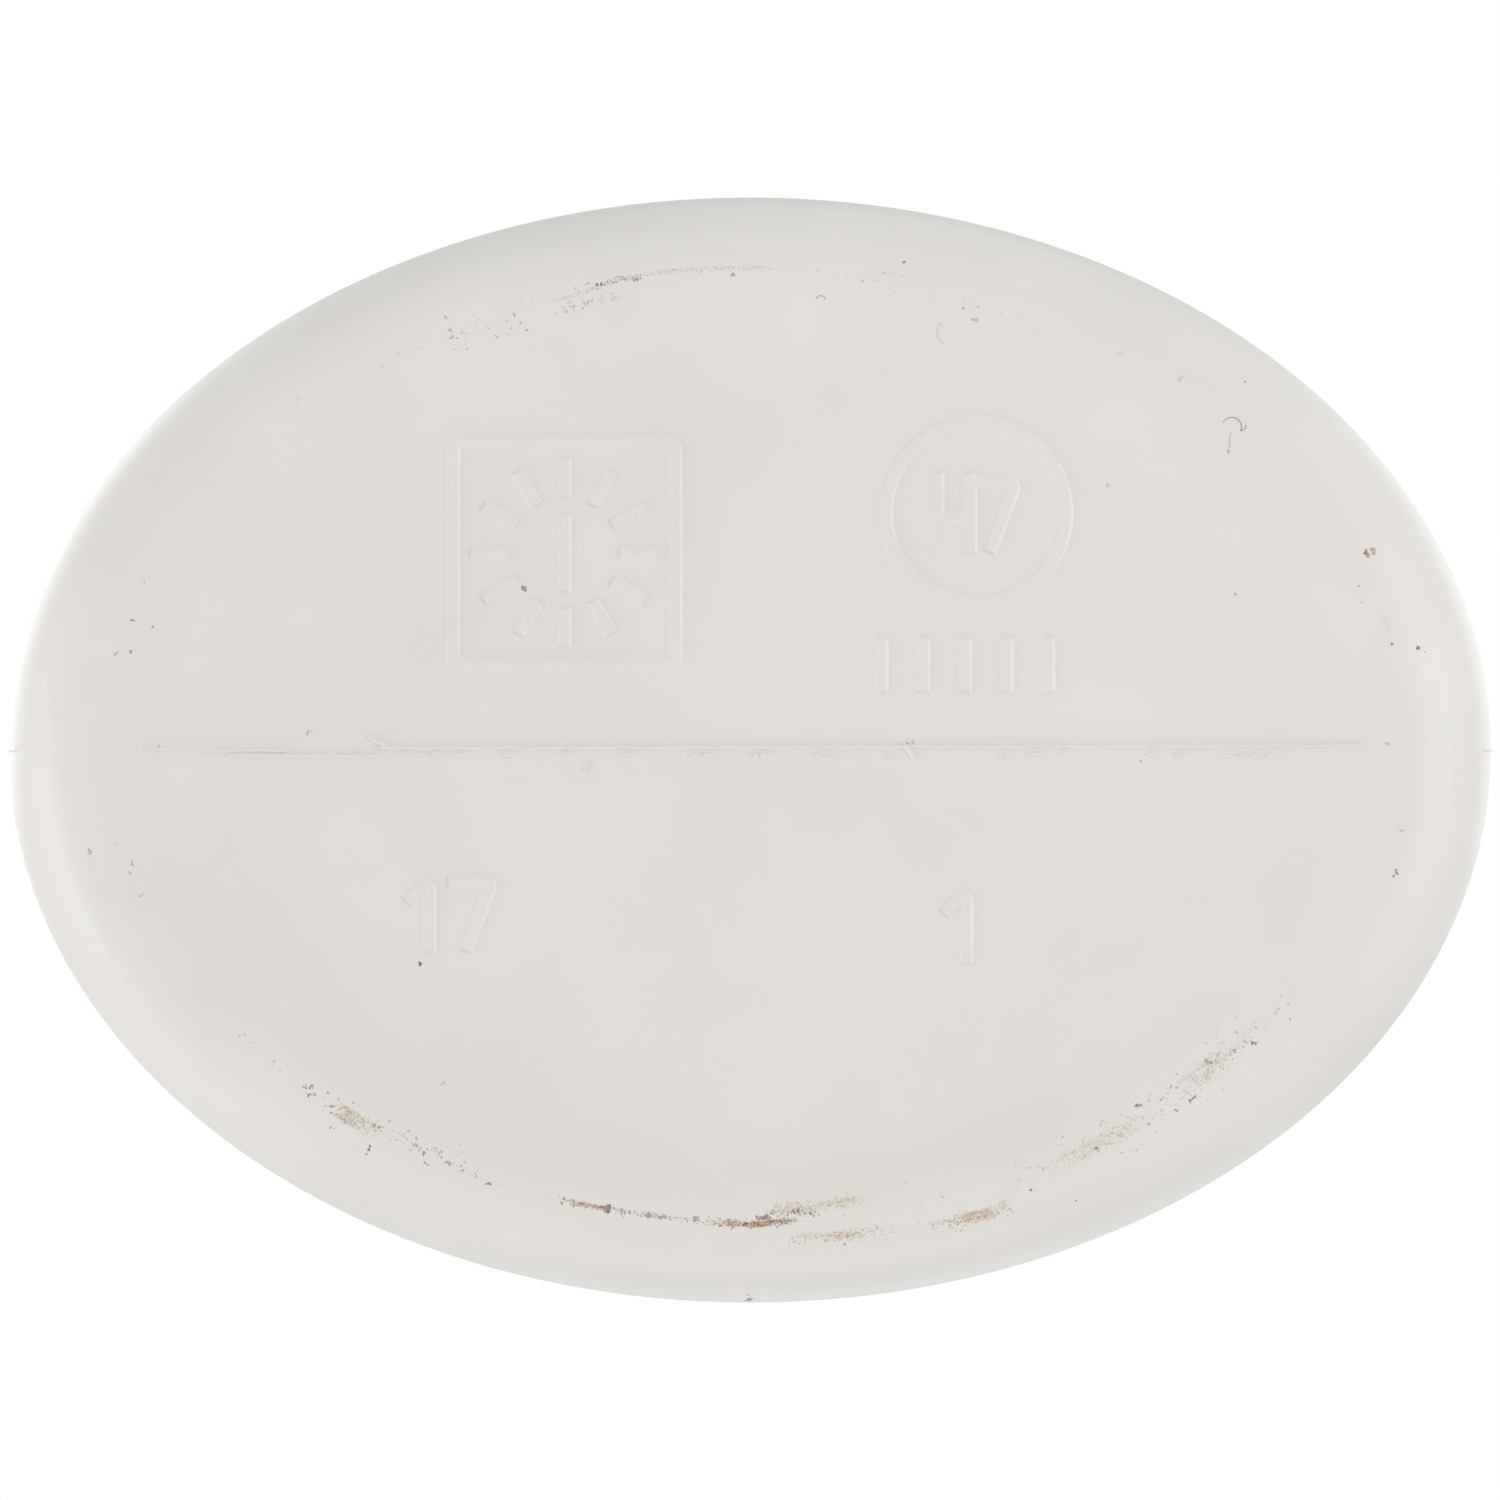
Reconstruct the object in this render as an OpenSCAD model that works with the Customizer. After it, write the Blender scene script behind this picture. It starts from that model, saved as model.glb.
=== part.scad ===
// Bubble bath bottle: a blown oval bottle with a round threaded neck, a ribbed screw cap
// and the soft liner that seals the cap on the neck's rim. Millimetres, standing on Z = 0,
// with the oval's long side along X. Mould marks on the bottom read with -Y upwards.

/* [Body] */
// Width of the oval body, along X
width = 94; // [84:1:110]
// Depth of the oval body, along Y
depth = 70; // [66:1:84]
// Height at which the straight side wall ends and the shoulder starts
side_top = 142; // [90:1:190]
// Height of the domed shoulder, from the side wall to the land round the neck
shoulder_h = 34; // [22:1:48]
// Half the width of the flat oval land round the foot of the neck
land_half = 26; // [25.6:0.1:30]
// Thickness of the side wall
wall = 1; // [0.8:0.1:1.8]
// Thickness of the bottom, which is blown thicker than the side
bottom_wall = 1.5; // [1.2:0.1:2.4]
// Thickness of the shoulder where it meets the neck
land_wall = 2; // [1.4:0.1:3]

/* [Base] */
// How far the standing ring lies inside the body's outline at the ends of the oval
heel_inset = 6.4; // [5:0.1:7]
// Height of the rounded heel
heel_h = 7; // [5:0.5:12]
// Width of the flat ring that the bottle stands on
stand_w = 1.4; // [1.0:0.1:2.2]
// Width of the slope from the standing ring up to the recessed bottom
slope_w = 6; // [4:0.1:6.5]
// Depth of the recess in the bottom
recess = 0.9; // [0.8:0.1:1.8]
// Length of the ridge where the mould pinched the plastic off
pinch_l = 72; // [50:1:73]
// Width of the pinch-off ridge
pinch_w = 0.6; // [0.4:0.1:1.2]
// Height of the pinch-off ridge
pinch_h = 0.3; // [0.1:0.05:0.5]

/* [Mould marks] */
// Width of a mark's raised stroke
stroke = 0.9; // [0.6:0.1:1.2]
// Height of a mark's raised stroke
mark_h = 0.3; // [0.1:0.05:0.5]
// Side of the square frame round the tick dial
frame_side = 15; // [10:0.5:16]
// Diameter of the ring round the cavity number
ring_d = 12.4; // [9:0.2:14]
// Height of the plain numbers
digit_h = 3.8; // [3:0.1:5]

/* [Neck] */
// Outer radius of the neck, at the root of its thread
neck_r = 12.65; // [12:0.05:13]
// Radius of the mouth's bore
bore_r = 10.4; // [8:0.1:11]
// Height of the neck above the land
neck_h = 18; // [17:0.5:24]
// How far the neck's bead stands out
bead_out = 1.9; // [1.2:0.1:2.2]
// Gap between the land and the bead
bead_gap = 1.2; // [0.8:0.1:1.6]
// Height of the bead
bead_h = 2; // [1.6:0.1:2.4]

/* [Thread] */
// Rise of the thread in one turn
pitch = 4.23; // [3.9:0.01:4.5]
// Turns of thread on the neck
neck_turns = 1.5; // [1:0.05:1.6]
// Turns of thread in the cap
cap_turns = 1.25; // [0.75:0.05:1.3]
// How far a thread stands out from its root
thread_out = 1.15; // [0.9:0.05:1.2]
// Width of a thread's crest
crest_w = 0.9; // [0.6:0.05:1]
// Clearance between each thread's crest and the other part's wall
thread_gap = 0.4; // [0.3:0.05:0.6]
// From the neck's rim down to the middle of its thread's upper end
thread_drop = 2.4; // [2.2:0.1:3]

/* [Cap] */
// Outer radius of the cap between its ribs
cap_r = 18.6; // [18.2:0.1:18.8]
// Thickness of the cap's outer wall
cap_wall = 1.4; // [1.1:0.1:1.6]
// Thickness of the cap's top plate
cap_top = 1.8; // [1.4:0.1:2.6]
// Thickness of the cap's inner skirt
skirt_wall = 1.4; // [1.1:0.1:1.5]
// Gap between the cap's lower edge and the land
cap_gap = 0.6; // [0.4:0.1:1.2]
// Gap between the inner skirt's lower edge and the bead
skirt_gap = 0.8; // [0.5:0.1:1.2]
// Rounding of the cap's top edge
cap_round = 2; // [1:0.1:3]
// Depth of the shallow dish in the cap's top
dish = 0.4; // [0.2:0.1:0.8]
// Width of the raised rim round the dish
dish_rim = 3.4; // [3:0.1:5]
// Number of grip ribs
ribs = 54; // [24:2:60]
// Radius of a grip rib
rib_r = 0.5; // [0.35:0.05:0.6]
// Height of the plain band under the ribs
band_h = 1.6; // [1:0.1:3]

/* [Liner] */
// Thickness of the sealing liner
liner_t = 1; // [0.6:0.1:2]
// Clearance between the liner's edge and the cap's inner skirt
liner_gap = 0.2; // [0.1:0.05:0.4]

/* [Hidden] */
$fn = 96;

// Steps in the curved stretches of a section, and sides to one turn of thread
heel_steps = 9;
slope_steps = 6;
shoulder_steps = 18;
round_steps = 8;
turn_sides = 48;
// How far a joining or cutting solid reaches past the face that it meets
lap = 1;

half_w = width / 2;
half_d = depth / 2;
land_z = side_top + shoulder_h;
rim_z = land_z + neck_h;
stand_out = half_w - heel_inset;
stand_in = stand_out - stand_w;

neck_foot = 1.2;
rim_chamfer = 0.5;
bead_z = land_z + bead_gap;
bead_chamfer = 0.6;

flank_angle = 30;
thread_sink = 0.3;
lead_in = 40;
neck_thread_z = rim_z - thread_drop - neck_turns * pitch;
crest_gap_r = neck_r + thread_out + thread_gap;

skirt_r = crest_gap_r;
skirt_z = bead_z + bead_h + skirt_gap;
skirt_lead = 0.5;
cap_z = land_z + cap_gap;
plate_z = rim_z + liner_t;
cap_top_z = plate_z + cap_top;
rib_z = cap_z + band_h;
rib_top_z = cap_top_z - cap_round;
rib_sink = 0.15;
// The cap's thread starts this share of a turn round from the neck's, half a pitch below it
cap_thread_from = -0.25;

// Where the mould marks stand, as seen from below with -Y upwards
frame_at = [-11.6, 12.3];
ring_at = [14.1, 14.8];
bars_at = [13.4, 5.3];
number_at = [-18.6, -10.1];
digit_at = [13.5, -10.8];
dial_ticks = 12;
bars = 5;
bar_h = 3.3;
bar_step = 2.6;
digit_step = 0.75 * digit_h;

// A quarter of an ellipse from [x0, z0] to [x1, z1], upright at its start if rising is true
function quarter(x0, z0, x1, z1, steps, rising) =
    [for (i = [0 : steps])
        let (t = 90 * i / steps)
        rising ? [x1 + (x0 - x1) * cos(t), z0 + (z1 - z0) * sin(t)]
               : [x0 + (x1 - x0) * sin(t), z1 + (z0 - z1) * cos(t)]];

// An eased slope from [x0, z0] to [x1, z1], level at both ends
function eased(x0, z0, x1, z1, steps) =
    [for (i = [0 : steps])
        let (s = i / steps)
        [x0 + (x1 - x0) * s, z0 + (z1 - z0) * (1 - cos(180 * s)) / 2]];

// A body of oval plan, turned from a half section and drawn in across Y
module oval_body(half_x, half_y, section) {
    scale([1, half_y / half_x, 1])
        rotate_extrude()
            polygon(section);
}

// The body's outer form, which reaches below its standing ring until that is cut flat
module body_form() {
    oval_body(half_w, half_d, concat(
        [[0, recess]],
        eased(stand_in - slope_w, recess, stand_in, 0, slope_steps),
        [[stand_in, -lap], [stand_out, -lap]],
        quarter(stand_out, 0, half_w, heel_h, heel_steps, false),
        quarter(half_w, side_top, land_half, land_z, shoulder_steps, true),
        [[0, land_z]]));
}

// The hollow inside the body
module body_hollow() {
    oval_body(half_w - wall, half_d - wall, concat(
        [[0, recess + bottom_wall]],
        eased(stand_in - slope_w, recess + bottom_wall, stand_in, bottom_wall, slope_steps),
        quarter(stand_out, bottom_wall, half_w - wall, heel_h, heel_steps, false),
        quarter(half_w - wall, side_top, land_half - land_wall, land_z - land_wall,
                shoulder_steps, true),
        [[0, land_z - land_wall]]));
}

// The neck as a turned form: a small foot, a bead and a chamfered rim
module neck_form() {
    rotate_extrude()
        polygon([
            [0, land_z - lap],
            [neck_r + neck_foot, land_z - lap],
            [neck_r + neck_foot, land_z],
            [neck_r, bead_z],
            [neck_r + bead_out, bead_z + bead_chamfer],
            [neck_r + bead_out, bead_z + bead_h - bead_chamfer],
            [neck_r, bead_z + bead_h],
            [neck_r, rim_z - rim_chamfer],
            [neck_r - rim_chamfer, rim_z],
            [0, rim_z]]);
}

// A right-hand thread of one start on a wall of radius r. It stands out by thread_out, away
// from the axis where way is 1 and towards it where way is -1, and fades into the wall over
// lead_in degrees at each end. Its middle starts at height z and turn from.
module thread(r, way, z, from, turns) {
    steps = round(turns * turn_sides);
    root = r - way * thread_sink;
    rings = [for (i = [0 : steps])
        let (turn = turns * i / steps,
             lead = min(1, min(turn, turns - turn) * 360 / lead_in),
             out = (thread_out + thread_sink / 2) * lead - thread_sink / 2,
             crest = r + way * out,
             half_crest = crest_w / 2,
             half_root = half_crest + (out + thread_sink) * tan(flank_angle),
             a = 360 * (from + turn),
             mid = z + pitch * turn)
        [for (p = [[root, mid - half_root], [crest, mid - half_crest],
                   [crest, mid + half_crest], [root, mid + half_root]])
            [p[0] * cos(a), p[0] * sin(a), p[1]]]];
    last = 4 * steps;
    // The two ways round need opposite orders of corners, so that every face points outwards
    order = way > 0 ? [2, 1, 0] : [0, 1, 2];
    function face(t) = [for (k = order) t[k]];
    sides = [for (i = [0 : steps - 1], k = [0 : 3])
        let (a = 4 * i + k, b = 4 * i + (k + 1) % 4)
        each [face([a, a + 4, b]), face([b, a + 4, b + 4])]];
    ends = [face([0, 1, 2]), face([0, 2, 3]),
            face([last + 2, last + 1, last]), face([last + 3, last + 2, last])];
    polyhedron(points = [for (q = rings) each q], faces = concat(sides, ends));
}

// The ridge across the bottom, where the two halves of the mould closed on the plastic
module pinch_ridge() {
    translate([-pinch_l / 2, -pinch_w / 2, recess - pinch_h])
        cube([pinch_l, pinch_w, pinch_h + bottom_wall / 2]);
}

// A flat round-ended stroke through the given points
module line(points) {
    for (i = [0 : len(points) - 2]) {
        a = points[i];
        b = points[i + 1];
        translate(a)
            rotate(atan2(b[1] - a[1], b[0] - a[0]))
                translate([0, -stroke / 2])
                    square([norm(b - a), stroke]);
    }
    for (p = points)
        translate(p)
            circle(d = stroke, $fn = 24);
}

module ring(d) {
    difference() {
        circle(d = d);
        circle(d = d - 2 * stroke);
    }
}

// Plain numbers, drawn round the middle of their height
module one() {
    line([[-0.25 * digit_h, 0.27 * digit_h], [0, digit_h / 2], [0, -digit_h / 2]]);
}

module four() {
    line([[0.2 * digit_h, -digit_h / 2], [0.2 * digit_h, digit_h / 2],
          [-0.3 * digit_h, -0.15 * digit_h], [0.38 * digit_h, -0.15 * digit_h]]);
}

module seven() {
    line([[-0.28 * digit_h, digit_h / 2], [0.28 * digit_h, digit_h / 2],
          [-0.1 * digit_h, -digit_h / 2]]);
}

// Two plain numbers side by side
module number() {
    for (i = [0, 1])
        translate([(i - 0.5) * digit_step, 0])
            children(i);
}

// A square frame round a dial of plain ticks with a short pointer
module tick_dial() {
    h = (frame_side - stroke) / 2;
    line([[-h, -h], [h, -h], [h, h], [-h, h], [-h, -h]]);
    for (i = [0 : dial_ticks - 1])
        rotate(360 * i / dial_ticks)
            line([[0.27 * frame_side, 0], [0.35 * frame_side, 0]]);
    line([[0, -0.12 * frame_side], [0, 0.12 * frame_side]]);
}

module bar_row() {
    for (i = [0 : bars - 1])
        translate([bar_step * (i - (bars - 1) / 2), 0])
            line([[0, (stroke - bar_h) / 2], [0, (bar_h - stroke) / 2]]);
}

// All the raised marks on the recessed bottom
module mould_marks() {
    translate([0, 0, recess - mark_h])
        mirror([0, 1, 0])
            linear_extrude(mark_h + bottom_wall / 2) {
                translate(frame_at)
                    tick_dial();
                translate(ring_at) {
                    ring(ring_d);
                    number() {
                        four();
                        seven();
                    }
                }
                translate(bars_at)
                    bar_row();
                translate(number_at)
                    number() {
                        one();
                        seven();
                    }
                translate(digit_at)
                    one();
            }
}

module bottle() {
    color([0.88, 0.87, 0.85])
        difference() {
            union() {
                body_form();
                neck_form();
                thread(neck_r, 1, neck_thread_z, 0, neck_turns);
                pinch_ridge();
                mould_marks();
            }
            body_hollow();
            translate([0, 0, land_z - land_wall - lap])
                cylinder(r = bore_r, h = neck_h + land_wall + 2 * lap);
            translate([-half_w, -half_d, -2 * lap])
                cube([width, depth, 2 * lap]);
        }
}

module cap_liner() {
    color([0.93, 0.93, 0.9])
        translate([0, 0, rim_z])
            cylinder(r = skirt_r - liner_gap, h = liner_t);
}

// Half of the cap's section: the outer wall, the top plate with its dish and the inner skirt
module cap_section() {
    edge = [for (i = [0 : round_steps])
        let (t = 90 * i / round_steps)
        [cap_r - cap_round * (1 - cos(t)), cap_top_z - cap_round * (1 - sin(t))]];
    polygon(concat(
        [[cap_r - cap_wall, cap_z], [cap_r, cap_z]],
        edge,
        [[cap_r - dish_rim, cap_top_z],
         [cap_r - dish_rim - dish, cap_top_z - dish],
         [0, cap_top_z - dish],
         [0, plate_z],
         [skirt_r, plate_z],
         [skirt_r, skirt_z + skirt_lead],
         [skirt_r + skirt_lead, skirt_z],
         [skirt_r + skirt_wall, skirt_z],
         [skirt_r + skirt_wall, plate_z],
         [cap_r - cap_wall, plate_z]]));
}

module grip_rib() {
    translate([cap_r - rib_sink, 0, rib_z]) {
        cylinder(r = rib_r, h = rib_top_z - rib_z - rib_r);
        translate([0, 0, rib_top_z - rib_z - rib_r])
            sphere(r = rib_r);
    }
}

module screw_cap() {
    color([0.95, 0.95, 0.94]) {
        rotate_extrude()
            cap_section();
        thread(skirt_r, -1, neck_thread_z + (cap_thread_from - 0.5) * pitch,
               cap_thread_from, cap_turns);
        for (i = [0 : ribs - 1])
            rotate([0, 0, 360 * i / ribs])
                grip_rib();
    }
}

bottle();
cap_liner();
screw_cap();
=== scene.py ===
# %% [markdown]
# # A bubble bath bottle, seen from below
# The bottle is blown from white polyethylene: a hot tube of plastic is caught between two
# mould halves and inflated. The photograph looks straight up at its oval bottom, so the lesson
# spends most of its care there: the rounded heel, the ring that the bottle stands on, the
# ridge where the mould closed, the raised mould marks and the dirt of years on a bath edge.
# Everything is in metres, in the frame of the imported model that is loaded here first.

# %% Load the fixed frame
import math
import random

import bmesh
import bpy
import numpy as np
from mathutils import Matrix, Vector


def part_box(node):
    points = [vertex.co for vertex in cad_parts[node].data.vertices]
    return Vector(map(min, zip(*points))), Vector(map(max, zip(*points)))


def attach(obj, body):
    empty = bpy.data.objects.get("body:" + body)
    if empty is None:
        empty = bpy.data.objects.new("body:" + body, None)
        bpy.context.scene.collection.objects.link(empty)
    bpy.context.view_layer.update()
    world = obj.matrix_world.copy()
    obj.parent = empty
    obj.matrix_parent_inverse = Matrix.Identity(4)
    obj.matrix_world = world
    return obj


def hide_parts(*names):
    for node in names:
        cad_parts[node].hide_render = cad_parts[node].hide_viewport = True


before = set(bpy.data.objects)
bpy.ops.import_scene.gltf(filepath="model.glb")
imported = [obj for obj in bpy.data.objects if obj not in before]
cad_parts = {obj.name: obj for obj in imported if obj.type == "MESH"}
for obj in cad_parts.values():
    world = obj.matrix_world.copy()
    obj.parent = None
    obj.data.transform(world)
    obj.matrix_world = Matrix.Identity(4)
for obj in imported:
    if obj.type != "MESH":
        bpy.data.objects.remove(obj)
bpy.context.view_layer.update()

# %% [markdown]
# ## Sizes
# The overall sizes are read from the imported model, so that the finished piece stands where the
# solid does. The smaller sizes are those that the drawing of the bottle gives, in millimetres.

# %% Sizes of the bottle
MM = 0.001
SEAM_HEIGHT = 0.08
bottle_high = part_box("bottle")[1]
cap_low, cap_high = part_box("screw_cap")
liner_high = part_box("cap_liner")[1]

half_w = bottle_high[0] / MM - SEAM_HEIGHT
half_d = bottle_high[1] / MM
rim_z = bottle_high[2] / MM
neck_h = 18.0
land_z = rim_z - neck_h
shoulder_h = 34.0
side_top = land_z - shoulder_h
land_half = 26.0
wall = 1.0
bottom_wall = 1.5
land_wall = 2.0
heel_inset = 6.4
heel_h = 7.0
stand_w = 1.4
slope_w = 6.0
recess = 0.9
stand_out = half_w - heel_inset
stand_in = stand_out - stand_w
neck_r = 12.65
bore_r = 10.4
bead_z = land_z + 1.2
bead_h = 2.0
bead_out = 1.9
print(f"body {2 * half_w:.1f} x {2 * half_d:.1f} mm, land at {land_z:.1f}, rim at {rim_z:.1f}")

# %% [markdown]
# ## Building Geometry Nodes trees in a script
# A tree is easier to read when each node takes one line. `place` adds a node, sets its options
# and plugs sockets or plain values into its inputs. `calc` does the same for arithmetic.

# %% Helpers for node trees
def plug(tree, value, socket):
    """Links a socket, or sets a plain value."""
    if isinstance(value, bpy.types.NodeSocket):
        tree.links.new(value, socket)
    else:
        socket.default_value = value


def place(tree, kind, inputs=None, **options):
    """Adds a node of that kind, with its options set and its inputs plugged."""
    node = tree.nodes.new(kind)
    for name, value in options.items():
        setattr(node, name, value)
    for name, value in (inputs or {}).items():
        plug(tree, value, node.inputs[name])
    return node


def calc(tree, operation, *values, clamp=False):
    """A math node's result. Geometry and shader trees share this kind of node."""
    node = place(tree, "ShaderNodeMath", operation=operation, use_clamp=clamp)
    for socket, value in zip(node.inputs, values):
        plug(tree, value, socket)
    return node.outputs[0]


def ease_between(tree, value, low, high):
    """0 at low, 1 at high, eased between them. low may be the larger."""
    node = place(tree, "ShaderNodeMapRange", {"Value": value, "From Min": low, "From Max": high},
                 interpolation_type="SMOOTHSTEP")
    return node.outputs[0]


def fresh_nodes(owner):
    """The node tree of a new material or world, with nothing in it yet."""
    owner.use_nodes = True
    owner.node_tree.nodes.clear()
    return owner.node_tree


def new_object(name, data):
    """An object in the scene."""
    piece = bpy.data.objects.new(name, data)
    bpy.context.scene.collection.objects.link(piece)
    return piece


SHARP_TURN = math.radians(38)


def new_tree(name, inputs):
    """A Geometry Nodes tree with named inputs. Gives the tree, its input node and its output node."""
    tree = bpy.data.node_groups.new(name, "GeometryNodeTree")
    tree.interface.new_socket("Geometry", in_out="OUTPUT", socket_type="NodeSocketGeometry")
    tree.interface.new_socket("Geometry", in_out="INPUT", socket_type="NodeSocketGeometry")
    for label, kind, default in inputs:
        socket = tree.interface.new_socket(label, in_out="INPUT", socket_type="NodeSocket" + kind)
        if default is not None:
            socket.default_value = default
    return tree, tree.nodes.new("NodeGroupInput"), tree.nodes.new("NodeGroupOutput")


def finish_tree(tree, mesh, group_in, group_out):
    """Ends a tree: smooth faces, hard edges where they turn sharply, one material, no instances."""
    smooth = place(tree, "GeometryNodeSetShadeSmooth", {"Geometry": mesh, "Shade Smooth": True})
    angle = place(tree, "GeometryNodeInputMeshEdgeAngle").outputs["Unsigned Angle"]
    sharp = place(tree, "FunctionNodeCompare", {"A": angle, "B": SHARP_TURN},
                  data_type="FLOAT", operation="GREATER_THAN")
    hard = place(tree, "GeometryNodeSetShadeSmooth",
                 {"Geometry": smooth.outputs[0], "Selection": sharp.outputs[0],
                  "Shade Smooth": False}, domain="EDGE")
    real = place(tree, "GeometryNodeRealizeInstances", {"Geometry": hard.outputs[0]})
    material = place(tree, "GeometryNodeSetMaterial",
                     {"Geometry": real.outputs[0], "Material": group_in.outputs["Material"]})
    tree.links.new(material.outputs[0], group_out.inputs[0])


def run_tree(tree, start, values):
    """Runs a tree on an object and gives the result as a plain mesh. The start object goes."""
    modifier = start.modifiers.new(tree.name, "NODES")
    modifier.node_group = tree
    for item in tree.interface.items_tree:
        if item.item_type == "SOCKET" and item.in_out == "INPUT" and item.name in values:
            modifier[item.identifier] = values[item.name]
    evaluated = start.evaluated_get(bpy.context.evaluated_depsgraph_get())
    mesh = bpy.data.meshes.new_from_object(evaluated)
    bpy.data.objects.remove(start)
    return mesh


def path_object(name, paths, attributes=()):
    """A mesh of open or closed point paths with float or vector attributes on its points.

    Each path is (points, closed, {attribute: values}).
    """
    points = []
    edges = []
    values = {label: [] for label, kind in attributes}
    for path, closed, given in paths:
        first = len(points)
        points += [tuple(c * MM for c in p) for p in path]
        edges += [(first + i, first + i + 1) for i in range(len(path) - 1)]
        if closed:
            edges.append((first + len(path) - 1, first))
        for label, kind in attributes:
            values[label] += list(given[label])
    mesh = bpy.data.meshes.new(name)
    mesh.from_pydata(points, edges, [])
    for label, kind in attributes:
        layer = mesh.attributes.new(label, kind, "POINT")
        key = "vector" if kind == "FLOAT_VECTOR" else "value"
        layer.data.foreach_set(key, np.array(values[label], float).ravel())
    return new_object(name, mesh)


# %% [markdown]
# ## One rule for everything turned
# The bottle's body is an oval, its neck a circle, and both come from one half section that is
# carried round the axis. A grid of points does this: each column is one turn step, each row one
# point of the section. Where the section belongs to the oval body, its `draw_in` is less than
# one and pulls the circle in across Y. The neck keeps one. Between them the land joins oval to
# circle by itself. Merging by distance closes the seam and the two poles.

# %% The tree that turns a half section
def turned_shell_tree():
    tree, given, out = new_tree("Turned shell", [
        ("Rows", "Int", 2), ("Columns", "Int", 192), ("Material", "Material", None)])
    columns = given.outputs["Columns"]
    rows = given.outputs["Rows"]
    grid = place(tree, "GeometryNodeMeshGrid", {
        "Vertices X": calc(tree, "ADD", columns, 1.0), "Vertices Y": rows})
    index = place(tree, "GeometryNodeInputIndex").outputs[0]
    row = calc(tree, "FLOORED_MODULO", index, rows)
    column = calc(tree, "FLOOR", calc(tree, "DIVIDE", calc(tree, "ADD", index, 0.5), rows))
    turn = calc(tree, "MULTIPLY", calc(tree, "DIVIDE", column, columns), math.tau)

    def sampled(value, kind):
        node = place(tree, "GeometryNodeSampleIndex", data_type=kind, domain="POINT")
        plug(tree, given.outputs[0], node.inputs["Geometry"])
        plug(tree, value, node.inputs["Value"])
        plug(tree, row, node.inputs["Index"])
        return node.outputs[0]

    section = sampled(place(tree, "GeometryNodeInputPosition").outputs[0], "FLOAT_VECTOR")
    named = place(tree, "GeometryNodeInputNamedAttribute", {"Name": "draw_in"},
                  data_type="FLOAT")
    draw_in = sampled(named.outputs["Attribute"], "FLOAT")
    parts = place(tree, "ShaderNodeSeparateXYZ", {"Vector": section})
    radius = parts.outputs["X"]
    across = calc(tree, "MULTIPLY", calc(tree, "MULTIPLY", radius, draw_in),
                  calc(tree, "SINE", turn))
    place_xyz = place(tree, "ShaderNodeCombineXYZ", {
        "X": calc(tree, "MULTIPLY", radius, calc(tree, "COSINE", turn)),
        "Y": across,
        "Z": parts.outputs["Z"]})
    moved = place(tree, "GeometryNodeSetPosition", {
        "Geometry": grid.outputs["Mesh"], "Position": place_xyz.outputs[0]})
    closed = place(tree, "GeometryNodeMergeByDistance", {
        "Geometry": moved.outputs[0], "Distance": 0.002 * MM})
    finish_tree(tree, closed.outputs[0], given, out)
    return tree


TURNED_SHELL = turned_shell_tree()


def turned(name, section, columns, material):
    """A closed shell turned from a half section of (radius, height, draw_in) points."""
    path = [(r, 0.0, z) for r, z, k in section]
    start = path_object(name, [(path, False, {"draw_in": [k for r, z, k in section]})],
                        [("draw_in", "FLOAT")])
    return run_tree(TURNED_SHELL, start, {
        "Rows": len(section), "Columns": columns, "Material": material})


# %% [markdown]
# ## One rule for everything that follows a path
# Mould marks, the pinched ridge, the side seams and the screw threads are all low beads with
# soft shoulders that follow a path. The tree sweeps one section along the path. The section
# has a flat top and shoulders that ease down, as plastic rounds off when it fills an engraved
# mould. Each point of the path carries the `side` direction, across the bead, and a `swell`
# that shrinks the bead to nothing at its ends. The sweep's own Y points into the wall, so the
# section is drawn downwards.

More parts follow.
